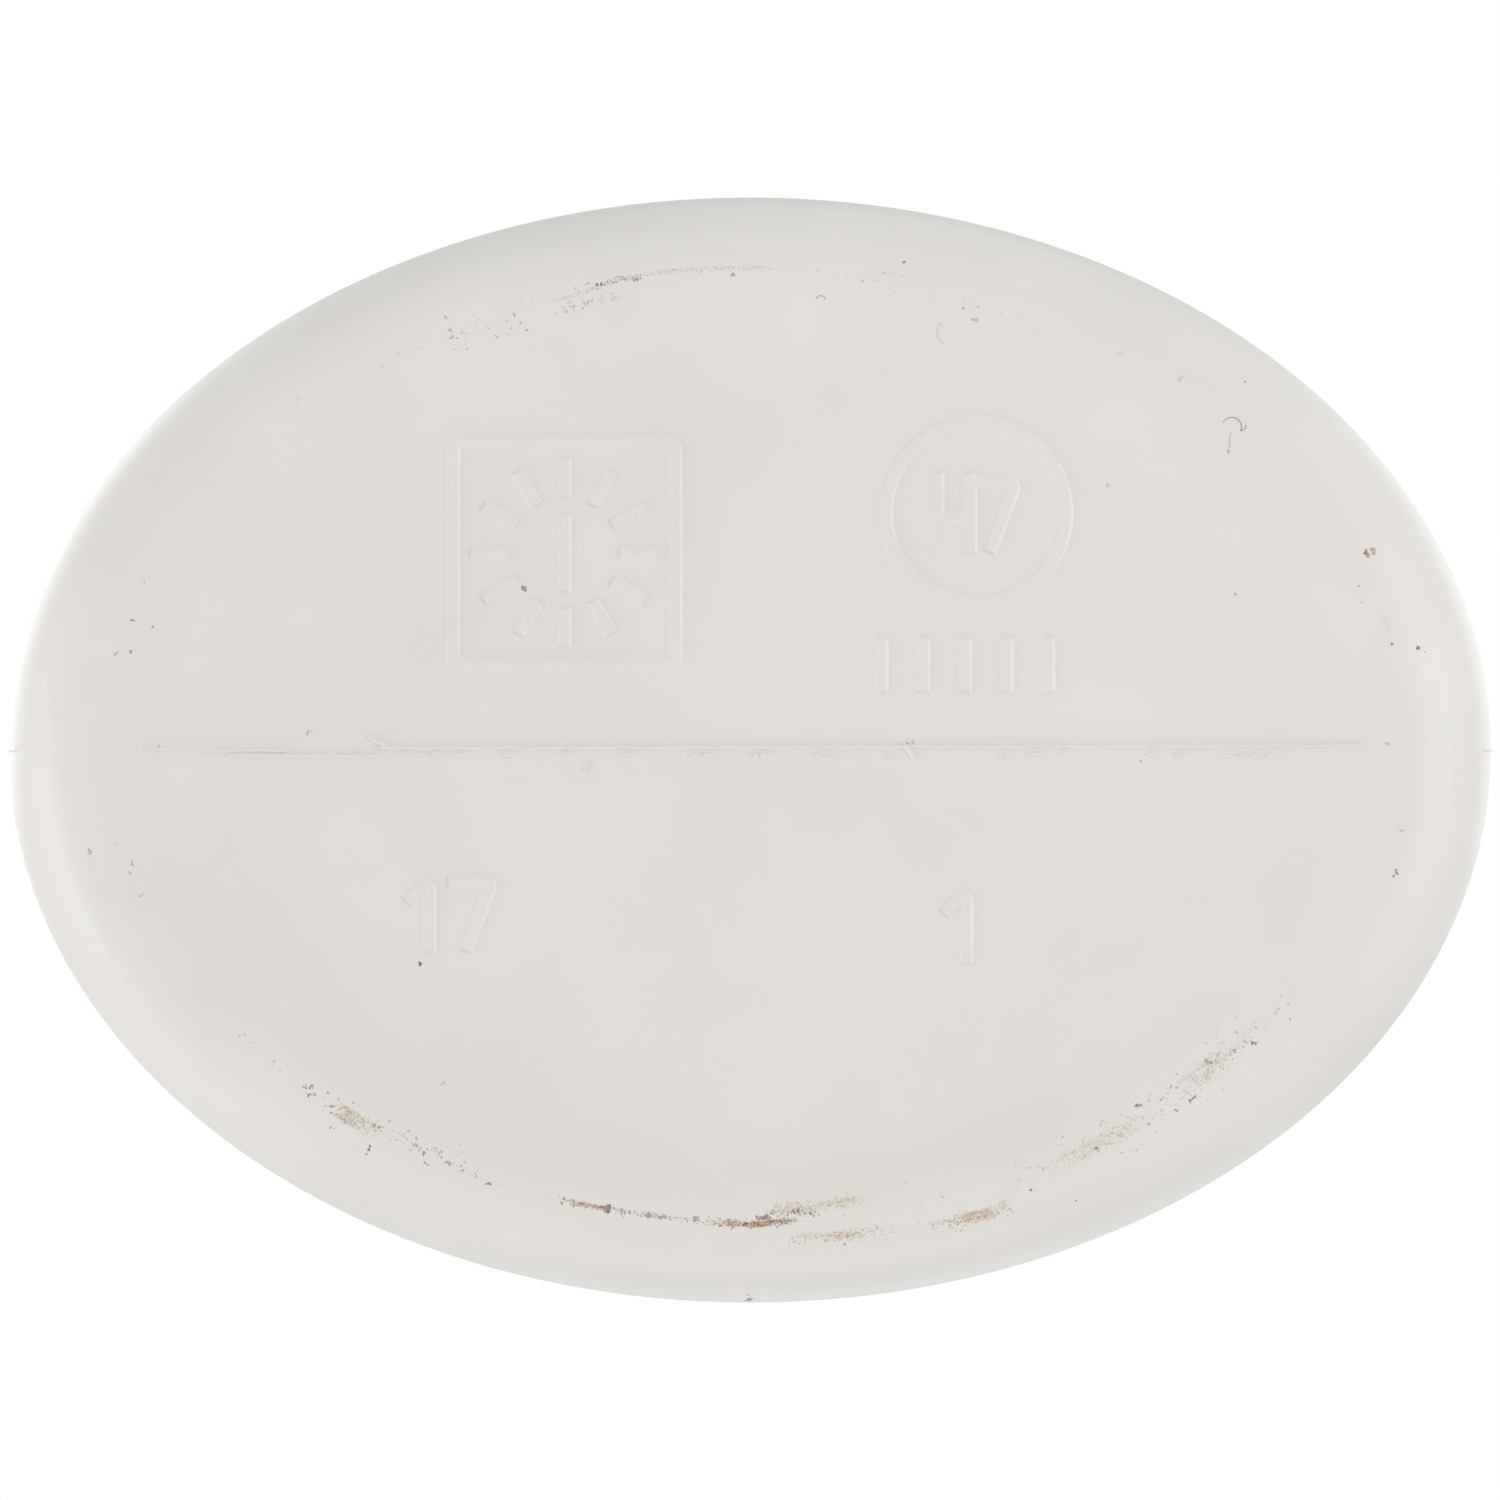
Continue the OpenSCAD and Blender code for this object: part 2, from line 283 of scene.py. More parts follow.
# %% The tree that sweeps a soft bead
def soft_bead_tree():
    tree, given, out = new_tree("Soft bead", [
        ("Width", "Float", MM), ("Height", "Float", MM), ("Sink", "Float", 0.1 * MM),
        ("Flat share", "Float", 0.4), ("Section points", "Int", 15),
        ("Material", "Material", None)])
    line = place(tree, "GeometryNodeCurvePrimitiveLine", {
        "Start": (-1.0, 0.0, 0.0), "End": (1.0, 0.0, 0.0)})
    section = place(tree, "GeometryNodeResampleCurve", {
        "Curve": line.outputs[0], "Count": given.outputs["Section points"]})
    at = place(tree, "ShaderNodeSeparateXYZ", {
        "Vector": place(tree, "GeometryNodeInputPosition").outputs[0]}).outputs["X"]
    rise = ease_between(tree, calc(tree, "ABSOLUTE", at), 1.0, given.outputs["Flat share"])
    whole = calc(tree, "ADD", given.outputs["Height"], given.outputs["Sink"])
    height = calc(tree, "SUBTRACT", given.outputs["Sink"], calc(tree, "MULTIPLY", rise, whole))
    half = calc(tree, "MULTIPLY", given.outputs["Width"], 0.5)
    place_xyz = place(tree, "ShaderNodeCombineXYZ", {
        "X": calc(tree, "MULTIPLY", at, half), "Y": height, "Z": 0.0})
    shaped = place(tree, "GeometryNodeSetPosition", {
        "Geometry": section.outputs[0], "Position": place_xyz.outputs[0]})
    loop = place(tree, "GeometryNodeSetSplineCyclic", {
        "Geometry": shaped.outputs[0], "Cyclic": True})

    path = place(tree, "GeometryNodeMeshToCurve", {"Mesh": given.outputs[0]})
    side = place(tree, "GeometryNodeInputNamedAttribute", {"Name": "side"},
                 data_type="FLOAT_VECTOR")
    swell = place(tree, "GeometryNodeInputNamedAttribute", {"Name": "swell"},
                  data_type="FLOAT")
    facing = place(tree, "GeometryNodeSetCurveNormal", {
        "Curve": path.outputs[0], "Normal": side.outputs["Attribute"]}, mode="FREE")
    sized = place(tree, "GeometryNodeSetCurveRadius", {
        "Curve": facing.outputs[0], "Radius": swell.outputs["Attribute"]})
    swept = place(tree, "GeometryNodeCurveToMesh", {
        "Curve": sized.outputs[0], "Profile Curve": loop.outputs[0], "Fill Caps": True})
    finish_tree(tree, swept.outputs[0], given, out)
    return tree


SOFT_BEAD = soft_bead_tree()


def swept_beads(name, paths, width, height, material, flat=0.4, sink=0.1, section_points=15):
    """Beads along paths, given in millimetres."""
    start = path_object(name, paths, [("side", "FLOAT_VECTOR"), ("swell", "FLOAT")])
    return run_tree(SOFT_BEAD, start, {
        "Width": width * MM, "Height": height * MM, "Sink": sink * MM, "Flat share": flat,
        "Section points": section_points, "Material": material})


print("trees", [tree.name for tree in bpy.data.node_groups])

# %% [markdown]
# ## Curves of a section
# Three kinds of curve draw every section here: a quarter of an ellipse for the heel and the
# shoulder, an eased slope that is level at both ends for the bottom, and a line whose corners
# are softened, because blown or moulded plastic has no knife edge anywhere.

# %% Quarter, eased slope and softened corners
def quarter(x0, z0, x1, z1, steps, rising):
    """A quarter of an ellipse between two points. A rising one starts upright, the other level."""
    curve = []
    for i in range(steps + 1):
        t = math.radians(90 * i / steps)
        if rising:
            curve.append((x1 + (x0 - x1) * math.cos(t), z0 + (z1 - z0) * math.sin(t)))
        else:
            curve.append((x0 + (x1 - x0) * math.sin(t), z1 + (z0 - z1) * math.cos(t)))
    return curve


def eased(x0, z0, x1, z1, steps):
    """A slope that is level at both ends."""
    curve = []
    for i in range(steps + 1):
        s = i / steps
        curve.append((x0 + (x1 - x0) * s, z0 + (z1 - z0) * (1 - math.cos(math.pi * s)) / 2))
    return curve


def bend(before, corner, after, reach, steps):
    """Points that round a corner, from reach before it to reach after it."""
    enter = corner + (before - corner).normalized() * reach
    leave = corner + (after - corner).normalized() * reach
    shares = [i / steps for i in range(steps + 1)]
    return [enter * (1 - s) ** 2 + corner * 2 * s * (1 - s) + leave * s ** 2 for s in shares]


def rounded(corners, steps=5):
    """A line through corners of (x, z, reach), curved from reach before each to reach after it."""
    line = [corners[0][:2]]
    for row in zip(corners, corners[1:], corners[2:]):
        before, corner, after = [Vector(spot[:2]) for spot in row]
        line += [tuple(point) for point in bend(before, corner, after, row[1][2], steps)]
    line.append(corners[-1][:2])
    return line


def with_draw_in(line, draw_in):
    """Points of (radius, height, draw_in) from points of (radius, height)."""
    return [(x, z, draw_in) for x, z in line]


print("a softened right angle has", len(rounded([(0, 0, 0), (1, 0, 0.2), (1, 1, 0)])), "points")

# %% [markdown]
# ## The bottle's shell
# The section starts in the middle of the bottom, outside, and runs out along the recess, down
# to the standing ring, round the heel and up the side. It crosses the land to the round neck,
# turns over the rim into the bore and comes back down inside, one wall further in. Because it
# is one line, the shell closes by itself and has a real thickness that shows in the mouth.

# %% Outer and inner lines of the shell
outer_in = half_d / half_w
inner_in = (half_d - wall) / (half_w - wall)
neck_foot = 1.2
bead_soft = 0.6
flat_rings = [stand_in * share for share in (0.0, 0.2, 0.4, 0.6, 0.8)]
side_heights = np.linspace(heel_h, side_top, 10)[1:-1]

bottom_outside = [(r, recess) for r in flat_rings]
bottom_outside += eased(stand_in - slope_w, recess, stand_in, 0.0, 12)
heel_outside = quarter(stand_out, 0.0, half_w, heel_h, 22, False)
side_outside = [(half_w, z) for z in side_heights]
shoulder_outside = quarter(half_w, side_top, land_half, land_z, 40, True)

neck_section = quarter(neck_r + neck_foot, land_z, neck_r, bead_z, 6, False)[:-1]
neck_section += rounded([
    (neck_r, bead_z - 0.1, 0.0),
    (neck_r, bead_z, 0.1),
    (neck_r + bead_out, bead_z + bead_soft, 0.5),
    (neck_r + bead_out, bead_z + bead_h - bead_soft, 0.5),
    (neck_r, bead_z + bead_h, 0.4),
    (neck_r, rim_z, 0.6),
    (bore_r, rim_z, 0.4),
    (bore_r, land_z - land_wall, 1.0),
    (bore_r + 2.0, land_z - land_wall, 0.0)])

shoulder_inside = quarter(half_w - wall, side_top, land_half - land_wall, land_z - land_wall,
                          30, True)
side_inside = [(half_w - wall, z) for z in side_heights]
heel_inside = quarter(stand_out, bottom_wall, half_w - wall, heel_h, 14, False)
bottom_inside = [(0.0, recess + bottom_wall)]
bottom_inside += eased(stand_in - slope_w, recess + bottom_wall, stand_in, bottom_wall, 8)

bottle_section = with_draw_in(
    bottom_outside + heel_outside + side_outside + shoulder_outside, outer_in)
bottle_section += with_draw_in(neck_section, 1.0)
inside_line = bottom_inside + heel_inside + side_inside + shoulder_inside
bottle_section += with_draw_in(inside_line[::-1], inner_in)
print("the bottle's section has", len(bottle_section), "points")

# %% [markdown]
# ## Strokes raised on the bottom
# The mould's bottom plate is engraved, so the bottle carries raised marks there: a small square
# with a dial of plain ticks, a ring round a plain number, a row of bars and two more numbers.
# Each stroke is one bead with domed ends and rounded corners, as a small round cutter leaves it
# in the mould. No two strokes cross, because two flat tops in one plane shade each other black
# in Cycles: the bar of the 4 only dips its domed end into the upright.

# %% Strokes, rings and plain numbers
DOWN = Vector((0.0, 0.0, -1.0))
stroke_w = 1.12
mark_h = 0.12
dome = [math.radians(15 * i) for i in range(7)]
thin_end = 0.04
corner_reach = 0.6
corner_steps = 6


def under(spot):
    """A place as seen from below, with -Y upwards, on the recessed bottom."""
    return Vector((spot[0], -spot[1], recess))


def with_sides(points, closed, swells):
    """A path on the bottom with the direction across it at every point."""
    count = len(points)
    sides = []
    for i in range(count):
        ahead = points[(i + 1) % count] if closed else points[min(i + 1, count - 1)]
        behind = points[i - 1] if closed else points[max(i - 1, 0)]
        sides.append(tuple((ahead - behind).normalized().cross(DOWN)))
    return points, closed, {"side": sides, "swell": swells}


def stroke(places, at=(0.0, 0.0), width=stroke_w, swell=1.0):
    """A raised stroke through a row of places, with domed ends."""
    corners = [under((x + at[0], y + at[1])) for x, y in places]
    reach = swell * width / 2
    steps = [reach * (1 - math.cos(t)) - reach for t in dome]
    swells = [swell * max(thin_end, math.sin(t)) for t in dome]
    first = (corners[1] - corners[0]).normalized()
    last = (corners[-1] - corners[-2]).normalized()
    points = [corners[0] + first * step for step in steps]
    for before, corner, after in zip(corners, corners[1:], corners[2:]):
        points += bend(before, corner, after, corner_reach, corner_steps)
    points += [corners[-1] - last * step for step in reversed(steps)]
    middle = [swell] * (len(points) - 2 * len(dome))
    return with_sides(points, False, swells + middle + swells[::-1])


def closed_stroke(places, at):
    """A raised stroke that comes back to its start."""
    corners = [under((x + at[0], y + at[1])) for x, y in places]
    points = []
    for i, corner in enumerate(corners):
        after = corners[(i + 1) % len(corners)]
        points += bend(corners[i - 1], corner, after, corner_reach, corner_steps)
    return with_sides(points, True, [1.0] * len(points))


def round_stroke(at, radius, count=72):
    """A closed ring."""
    turns = [math.tau * i / count for i in range(count)]
    points = [under((at[0] + radius * math.cos(t), at[1] + radius * math.sin(t))) for t in turns]
    return with_sides(points, True, [1.0] * count)


digit_h = 3.8
digit_step = 0.75 * digit_h
DIGITS = {
    1: [[(-0.25, 0.27), (0.0, 0.5), (0.0, -0.5)]],
    4: [[(-0.26, 0.5), (-0.26, -0.08), (0.08, -0.08)], [(0.28, 0.5), (0.28, -0.5)]],
    7: [[(-0.28, 0.5), (0.28, 0.5), (-0.1, -0.5)]],
}


def number(digits, at):
    """A plain number of one or two digits, centred at a place."""
    paths = []
    for i, digit in enumerate(digits):
        shift = (i - (len(digits) - 1) / 2) * digit_step
        for line in DIGITS[digit]:
            shape = [(x * digit_h, y * digit_h) for x, y in line]
            paths.append(stroke(shape, (at[0] + shift, at[1])))
    return paths


# %% [markdown]
# The marks stand where the drawing of the bottle has them. Their places are read from below,
# with the bottle's -Y side up, so that the numbers are the right way round in that view.

# %% The marks in their places
frame_side = 15.0
frame_at = (-11.6, 12.3)
dial_ticks = 12
tick_reaches = (0.27, 0.35)
pointer_reach = 0.12
ring_d = 12.4
ring_at = (14.1, 14.8)
bars_at = (13.4, 5.3)
bar_h = 3.3
bar_step = 2.6


def tick_dial(at):
    """A square frame round a ring of ticks and one pointer."""
    half = (frame_side - stroke_w) / 2
    paths = [closed_stroke([(-half, -half), (half, -half), (half, half), (-half, half)], at)]
    for i in range(dial_ticks):
        turn = math.tau * i / dial_ticks
        tick = [(reach * frame_side * math.cos(turn), reach * frame_side * math.sin(turn))
                for reach in tick_reaches]
        paths.append(stroke(tick, at))
    pointer = pointer_reach * frame_side
    paths.append(stroke([(0.0, -pointer), (0.0, pointer)], at))
    return paths


def bar_row(at, count=5):
    """Upright bars side by side."""
    paths = []
    for i in range(count):
        x = bar_step * (i - (count - 1) / 2)
        paths.append(stroke([(x, (stroke_w - bar_h) / 2), (x, (bar_h - stroke_w) / 2)], at))
    return paths


mark_paths = tick_dial(frame_at)
mark_paths += [round_stroke(ring_at, (ring_d - stroke_w) / 2)]
mark_paths += number((4, 7), ring_at)
mark_paths += bar_row(bars_at)
mark_paths += number((1, 7), (-18.6, -10.1))
mark_paths += number((1,), (13.5, -10.8))
print("raised strokes", len(mark_paths))

# %% [markdown]
# ## The pinched line and the side seams
# When the mould closes, its edges pinch the hot tube shut. That leaves an uneven ridge across
# the bottom, with beads of squeezed plastic along it, and a hair-fine seam up both narrow
# sides. Small sines and a seeded random row make the ridge uneven in the same way each run.

# %% The pinched line across the bottom
pinch_w = 0.42
pinch_h = 0.15
pinch_random = random.Random(11)


def bottom_height(x, y=0.0):
    """Height of the bottle's underside at a place."""
    out = math.hypot(x, y / outer_in) - (stand_in - slope_w)
    share = min(max(out / slope_w, 0.0), 1.0)
    return recess * (1 + math.cos(math.pi * share)) / 2


def ridge(x_from, x_to, y_from, y_to, swell, wobble=0.03, step=0.5):
    """An uneven ridge along the bottom. Places are plain X and Y."""
    count = int(abs(x_to - x_from) / step)
    points = []
    swells = []
    for i in range(count + 1):
        s = i / count
        x = x_from + (x_to - x_from) * s
        y = y_from + (y_to - y_from) * s + wobble * math.sin(1.3 * x) * math.sin(0.37 * x + 1)
        points.append(Vector((x, y, bottom_height(x, y))))
        fade = min(1.0, 8 * s, 8 * (1 - s))
        uneven = 0.75 + 0.25 * math.sin(2.1 * x) * math.sin(0.83 * x + 2)
        swells.append(max(thin_end, swell * uneven * math.sqrt(fade)))
    return points, False, {"side": [(0.0, 1.0, 0.0)] * len(points), "swell": swells}


pinch_paths = [
    ridge(-23.2, 38.0, -0.12, -0.3, 1.0),
    ridge(-37.6, -29.0, -0.05, 0.05, 0.7),
    ridge(-32.6, -23.0, 0.32, 0.36, 0.8),
]
pinch_paths += [stroke([(-23.7, 0.75), (-22.7, 0.15)], width=pinch_w, swell=0.8)]
pinch_paths += [stroke([(9.7, 0.25), (10.1, -0.35)], width=pinch_w, swell=1.0)]
for i in range(34):
    x = -32.0 + 64.5 * pinch_random.random()
    y = 0.16 + 0.2 * pinch_random.random()
    length = 0.1 + 0.3 * pinch_random.random()
    size = 0.35 + 0.3 * pinch_random.random()
    pinch_paths.append(stroke([(x, -y), (x + length, -y)], width=pinch_w, swell=size))
print("ridges and beads along the pinch", len(pinch_paths))

# %% The side seams
seam_w = 0.35
seam_line = heel_outside[15:] + side_outside + shoulder_outside


def seam(way):
    """One seam up a narrow side, where way is 1 or -1."""
    points = [Vector((way * x, 0.0, z)) for x, z in seam_line]
    count = len(points)
    swells = [max(0.05, min(1.0, 0.2 * i, 0.2 * (count - 1 - i))) for i in range(count)]
    return points, False, {"side": [(0.0, float(way), 0.0)] * count, "swell": swells}


seam_paths = [seam(1), seam(-1)]
print("a seam has", len(seam_line), "points")

# %% [markdown]
# ## The screw thread
# The neck and the cap have the same right-hand thread, one standing out and one standing in.
# Both are helices that fade in and out over the first and last 40 degrees. They are beads like
# the rest, so their flanks are soft, as they are on a bottle that was blown against its mould.

# %% A thread as a helix
pitch = 4.23
neck_turns = 1.5
cap_turns = 1.25
thread_out = 1.15
thread_drop = 2.4
thread_w = 2.3
thread_lead = 40.0 / 360.0
neck_thread_z = rim_z - thread_drop - neck_turns * pitch


def helix(radius, way, z, start, turns, steps_per_turn=72):
    """A thread's path on a wall. It stands out from the axis for way 1 and in for way -1."""
    count = round(turns * steps_per_turn)
    points = []
    sides = []
    swells = []
    for i in range(count + 1):
        turn = turns * i / count
        t = math.tau * (start + turn)
        out = Vector((math.cos(t), math.sin(t), 0.0)) * way
        along = Vector((-radius * math.sin(t), radius * math.cos(t), pitch / math.tau))
        points.append(Vector((radius * math.cos(t), radius * math.sin(t), z + pitch * turn)))
        sides.append(tuple(along.normalized().cross(out)))
        lead = min(1.0, turn / thread_lead, (turns - turn) / thread_lead)
        swells.append(max(0.12, math.sin(math.radians(90 * lead))))
    return points, False, {"side": sides, "swell": swells}


neck_thread = helix(neck_r, 1, neck_thread_z, 0.0, neck_turns)
neck_thread_top = neck_thread_z + neck_turns * pitch
print("neck thread from z", round(neck_thread_z, 2), "to", round(neck_thread_top, 2))

# %% [markdown]
# ## Dirt
# The dirt has two forms. Rubbed dirt has no thickness, so it belongs in the material: it runs
# in lanes along the standing ring, where the bottle stood on wet tiles. A lane is a band whose
# middle, width, fill and strength change round the oval. Four curves hold those, and noise
# breaks the band into streaks and grains. Grit and hairs have a body, so they are made as
# small flakes and threads that lie on the plastic.

# %% One lane as a shader group
def dirt_lane_group():
    """A shader group: how much wash and how many grains a lane has at a point."""
    tree = bpy.data.node_groups.new("Dirt lane", "ShaderNodeTree")
    for label in ("Out", "Streaks", "Grains", "Middle", "Half width", "Fill", "Strength"):
        tree.interface.new_socket(label, in_out="INPUT", socket_type="NodeSocketFloat")
    for label in ("Wash", "Grains"):
        tree.interface.new_socket(label, in_out="OUTPUT", socket_type="NodeSocketFloat")
    given = tree.nodes.new("NodeGroupInput").outputs
    out = tree.nodes.new("NodeGroupOutput")
    off = calc(tree, "ABSOLUTE", calc(tree, "SUBTRACT", given["Out"], given["Middle"]))
    across = calc(tree, "DIVIDE", off, given["Half width"])
    reach = calc(tree, "MULTIPLY", ease_between(tree, across, 1.0, 0.1), given["Fill"])
    fade = calc(tree, "MULTIPLY", calc(tree, "POWER", reach, 0.5), given["Strength"])
    limit = calc(tree, "SUBTRACT", 0.7, calc(tree, "MULTIPLY", reach, 0.35))
    wash = ease_between(tree, calc(tree, "SUBTRACT", given["Streaks"], limit), 0.0, 0.3)
    plug(tree, calc(tree, "MULTIPLY", wash, fade), out.inputs["Wash"])
    limit = calc(tree, "SUBTRACT", 0.76, calc(tree, "MULTIPLY", reach, 0.26))
    grains = ease_between(tree, calc(tree, "SUBTRACT", given["Grains"], limit), 0.0, 0.05)
    plug(tree, calc(tree, "MULTIPLY", grains, fade), out.inputs["Grains"])
    return tree


DIRT_LANE = dirt_lane_group()
print("shader group", DIRT_LANE.name)

# %% [markdown]
# Smears are given along the oval: an angle in degrees, seen from below and turning from +X
# towards +Y, millimetres outwards from the ring's middle line, half length, half width,
# strength and fill. Grit is given in plain X and Y, with its half length, half width, turn in
# degrees and strength. Dust is a seeded scatter between two angles round the oval.

# %% The lanes of rubbed dirt
ring_middle = (stand_out + stand_in) / 2 / half_w
# These two turn angles and shares of the oval into rough millimetres along and across it.
ring_reach = 38.0
ring_scale = 40.0
lane_blend = 0.4
GREY_LANE = [
    (-97, 0.40, 13, 0.42, 0.55, 0.85),
    (-102, 0.35, 2.6, 0.35, 1.00, 1.00),
    (-106, -0.95, 2.6, 0.6, 0.57, 0.54),
    (-116, -0.25, 3.4, 0.8, 0.46, 0.54),
    (-78, 0.75, 3.2, 0.9, 0.34, 0.60),
    (-64, -0.45, 3, 0.8, 0.29, 0.60),
    (38, -0.55, 4.6, 1.5, 0.52, 0.54),
    (50, -0.05, 6, 1.5, 0.57, 0.54),
    (62, -0.25, 5, 1.5, 0.40, 0.60),
    (76, 1.35, 9, 1.8, 0.40, 0.54),
    (104, -0.35, 3.4, 0.5, 0.92, 0.54),
    (97.5, -0.25, 2.6, 0.4, 1.00, 0.48),
    (133, -0.25, 3, 0.9, 0.69, 0.48),
    (122, -0.45, 4.2, 1.3, 0.69, 0.51),
    (115, -0.25, 3.6, 0.35, 0.57, 0.60),
    (57, -0.35, 5, 1.2, 0.30, 0.75),
    (42, -0.55, 5, 1.2, 0.34, 0.75),
    (-162, -0.05, 1.8, 1.3, 0.34, 0.60),
    (168, 0.55, 2.6, 1.6, 0.32, 0.48),
    (173, -0.25, 3, 3, 0.18, 0.60),
    (-14, 0.15, 2.4, 0.9, 0.32, 0.60),
]
TAN_LANE = [
    (86, -0.95, 2.6, 1.0, 0.95, 1),
    (81.5, -1.35, 2.8, 0.9, 0.8, 1),
    (128.5, -0.25, 2.6, 1.2, 0.9, 1),
    (57, -0.35, 4.6, 1.5, 0.26, 1),
    (43, -0.65, 3.4, 1.6, 0.34, 1),
    (-15.5, 0.95, 1.2, 0.5, 0.4, 1),
]
OUTER_TAN_LANE = [
    (82, 0.95, 4, 0.9, 0.85, 1),
    (70.5, 1.35, 3.4, 1.0, 1.0, 1),
]
BROWN_LANE = [
    (90.5, -0.15, 3.2, 0.62, 1.00, 1.00),
    (87, -0.45, 1.6, 0.62, 1.00, 1.00),
    (105, -0.35, 2.4, 0.45, 1.00, 1.00),
    (96.5, -0.25, 2.8, 0.42, 0.85, 0.90),
    (129.5, -0.45, 1, 0.68, 0.77, 0.90),
    (69.5, 1.25, 1.2, 0.68, 0.66, 0.90),
    (99, -0.45, 4.4, 0.47, 0.55, 0.80),
]


def turn_between(first, last):
    """Degrees from one angle to another, from -180 to 180."""
    return (last - first + 180.0) % 360.0 - 180.0


def lane_table(smears, steps=120):
    """A lane's middle, half width, fill and strength at even angles round the oval."""
    rows = []
    for i in range(steps + 1):
        angle = 360.0 * i / steps - 180.0
        weights = []
        for smear in smears:
            apart = turn_between(smear[0], angle)
            share = math.radians(apart) * ring_reach / (smear[2] + lane_blend)
            weights.append(max(0.0, 1.0 - share * share))
        total = sum(weights)
        if total == 0:
            near = min(smears, key=lambda smear: abs(turn_between(smear[0], angle)))
            rows.append((near[1], near[3], 0.0, near[4]))
            continue
        mean = [sum(w * smear[k] for w, smear in zip(weights, smears)) / total for k in (1, 3, 4)]
        fill = max(w * smear[5] for w, smear in zip(weights, smears))
        rows.append((mean[0], mean[1], fill, mean[2]))
    return rows


lanes = {"grey": lane_table(GREY_LANE), "tan": lane_table(TAN_LANE),
         "outer tan": lane_table(OUTER_TAN_LANE), "brown": lane_table(BROWN_LANE)}
print("lanes", list(lanes))

# %% Grit
# x, y, half length, half width, turn, strength
GREY_SPECKS = [
    (-9.4, -29.0, 0.2, 0.1, -20, 0.9),
    (-8.9, -29.2, 0.16, 0.08, 10, 0.9),
    (-7.2, -29.3, 0.5, 0.08, -5, 0.9),
    (-10.3, -29.0, 0.3, 0.07, -15, 0.7),
    (-3.1, -29.8, 0.12, 0.1, 0, 0.8),
    (-1.0, -29.6, 0.35, 0.06, 5, 0.8),
    (4.2, -29.9, 0.12, 0.1, 0, 0.8),
    (9.6, -30.4, 0.16, 0.08, 80, 0.8),
    (-14.2, -28.2, 0.12, 0.08, 30, 0.7),
    (-18.9, -26.9, 0.22, 0.08, -60, 0.6),
    (-18.7, -26.2, 0.3, 0.06, 85, 0.5),
    (14.0, -26.8, 0.2, 0.14, 0, 0.5),
    (23.0, -24.8, 0.14, 0.12, 0, 0.4),
    (26.8, -23.1, 0.18, 0.16, 0, 0.3),
    (30.9, -23.0, 0.12, 0.1, 0, 0.5),
    (22.4, -16.6, 0.14, 0.12, 0, 0.35),
    (29.9, -18.6, 0.16, 0.09, 60, 0.7),
    (37.9, -10.2, 0.12, 0.1, 0, 0.7),
    (38.1, -9.2, 0.15, 0.07, 20, 0.5),
    (40.0, -6.6, 0.1, 0.1, 0, 0.8),
    (41.6, -6.3, 0.14, 0.12, 0, 0.95),
    (42.1, -6.1, 0.1, 0.08, 0, 0.5),
    (30.3, -9.7, 0.13, 0.1, 0, 0.5),
    (33.7, 16.8, 0.16, 0.1, 0, 0.8),
    (31.4, 18.2, 0.18, 0.16, 0, 1.0),
    (30.2, 18.7, 0.14, 0.12, 0, 0.8),
    (28.6, 19.4, 0.2, 0.16, 0, 0.8),
    (27.6, 21.7, 0.36, 0.16, -30, 1.0),
    (26.6, 22.4, 0.16, 0.12, 0, 0.9),
    (24.9, 23.2, 0.16, 0.12, 0, 0.8),
    (24.2, 22.2, 0.16, 0.12, 0, 0.8),
    (25.6, 21.8, 0.12, 0.1, 0, 0.6),
    (21.6, 24.9, 0.16, 0.14, 0, 0.9),
    (20.3, 28.1, 0.1, 0.08, 0, 0.7),
    (17.5, 27.4, 0.12, 0.1, 0, 0.9),
    (7.9, 29.6, 0.12, 0.14, 0, 0.9),
    (5.9, 30.8, 0.1, 0.1, 0, 0.8),
    (-27.6, 21.0, 0.4, 0.12, -8, 0.85),
    (-27.5, 21.5, 0.12, 0.14, 0, 0.8),
    (-26.1, 22.2, 0.1, 0.12, 0, 0.8),
    (-26.1, 22.6, 0.1, 0.1, 0, 0.9),
    (-20.8, 24.6, 0.14, 0.14, 0, 0.8),
    (-20.3, 25.1, 0.16, 0.1, 40, 0.8),
    (-20.2, 25.7, 0.2, 0.1, 20, 0.8),
    (-18.8, 25.7, 0.14, 0.12, 0, 0.8),
    (-18.0, 25.9, 0.1, 0.1, 0, 0.6),
    (-16.2, 27.0, 0.16, 0.12, 0, 0.9),
    (-23.8, 24.9, 0.3, 0.12, -65, 0.9),
    (-19.1, 20.8, 0.14, 0.12, 0, 0.4),
    (-37.7, -10.4, 0.26, 0.07, 15, 0.7),
    (-38.5, -8.1, 0.16, 0.14, 0, 0.75),
    (-37.2, -7.7, 0.12, 0.1, 0, 0.6),
    (-39.5, -6.0, 0.3, 0.1, -50, 0.8),
    (-38.5, -6.1, 0.14, 0.12, 0, 0.6),
    (-39.6, 5.9, 0.2, 0.12, 40, 0.7),
    (-41.1, 6.3, 0.18, 0.14, 0, 0.5),
    (-38.5, 7.1, 0.16, 0.12, 0, 0.7),
    (-38.7, 7.6, 0.2, 0.1, 60, 0.7),
    (-38.0, 9.0, 0.16, 0.12, 0, 0.4),
    (-36.9, -0.1, 0.18, 0.1, -30, 0.6),
    (39.7, -0.4, 0.22, 0.1, 30, 0.5),
    (-28.2, -21.7, 0.24, 0.09, -35, 0.7),
    (-20.6, 13.3, 0.12, 0.12, 0, 1.0),
    (24.4, 0.7, 0.12, 0.1, 0, 0.5),
    (-10.0, 1.1, 0.5, 0.4, 20, 0.12),
    (-27.5, -1.1, 0.3, 0.1, 5, 0.45),
]
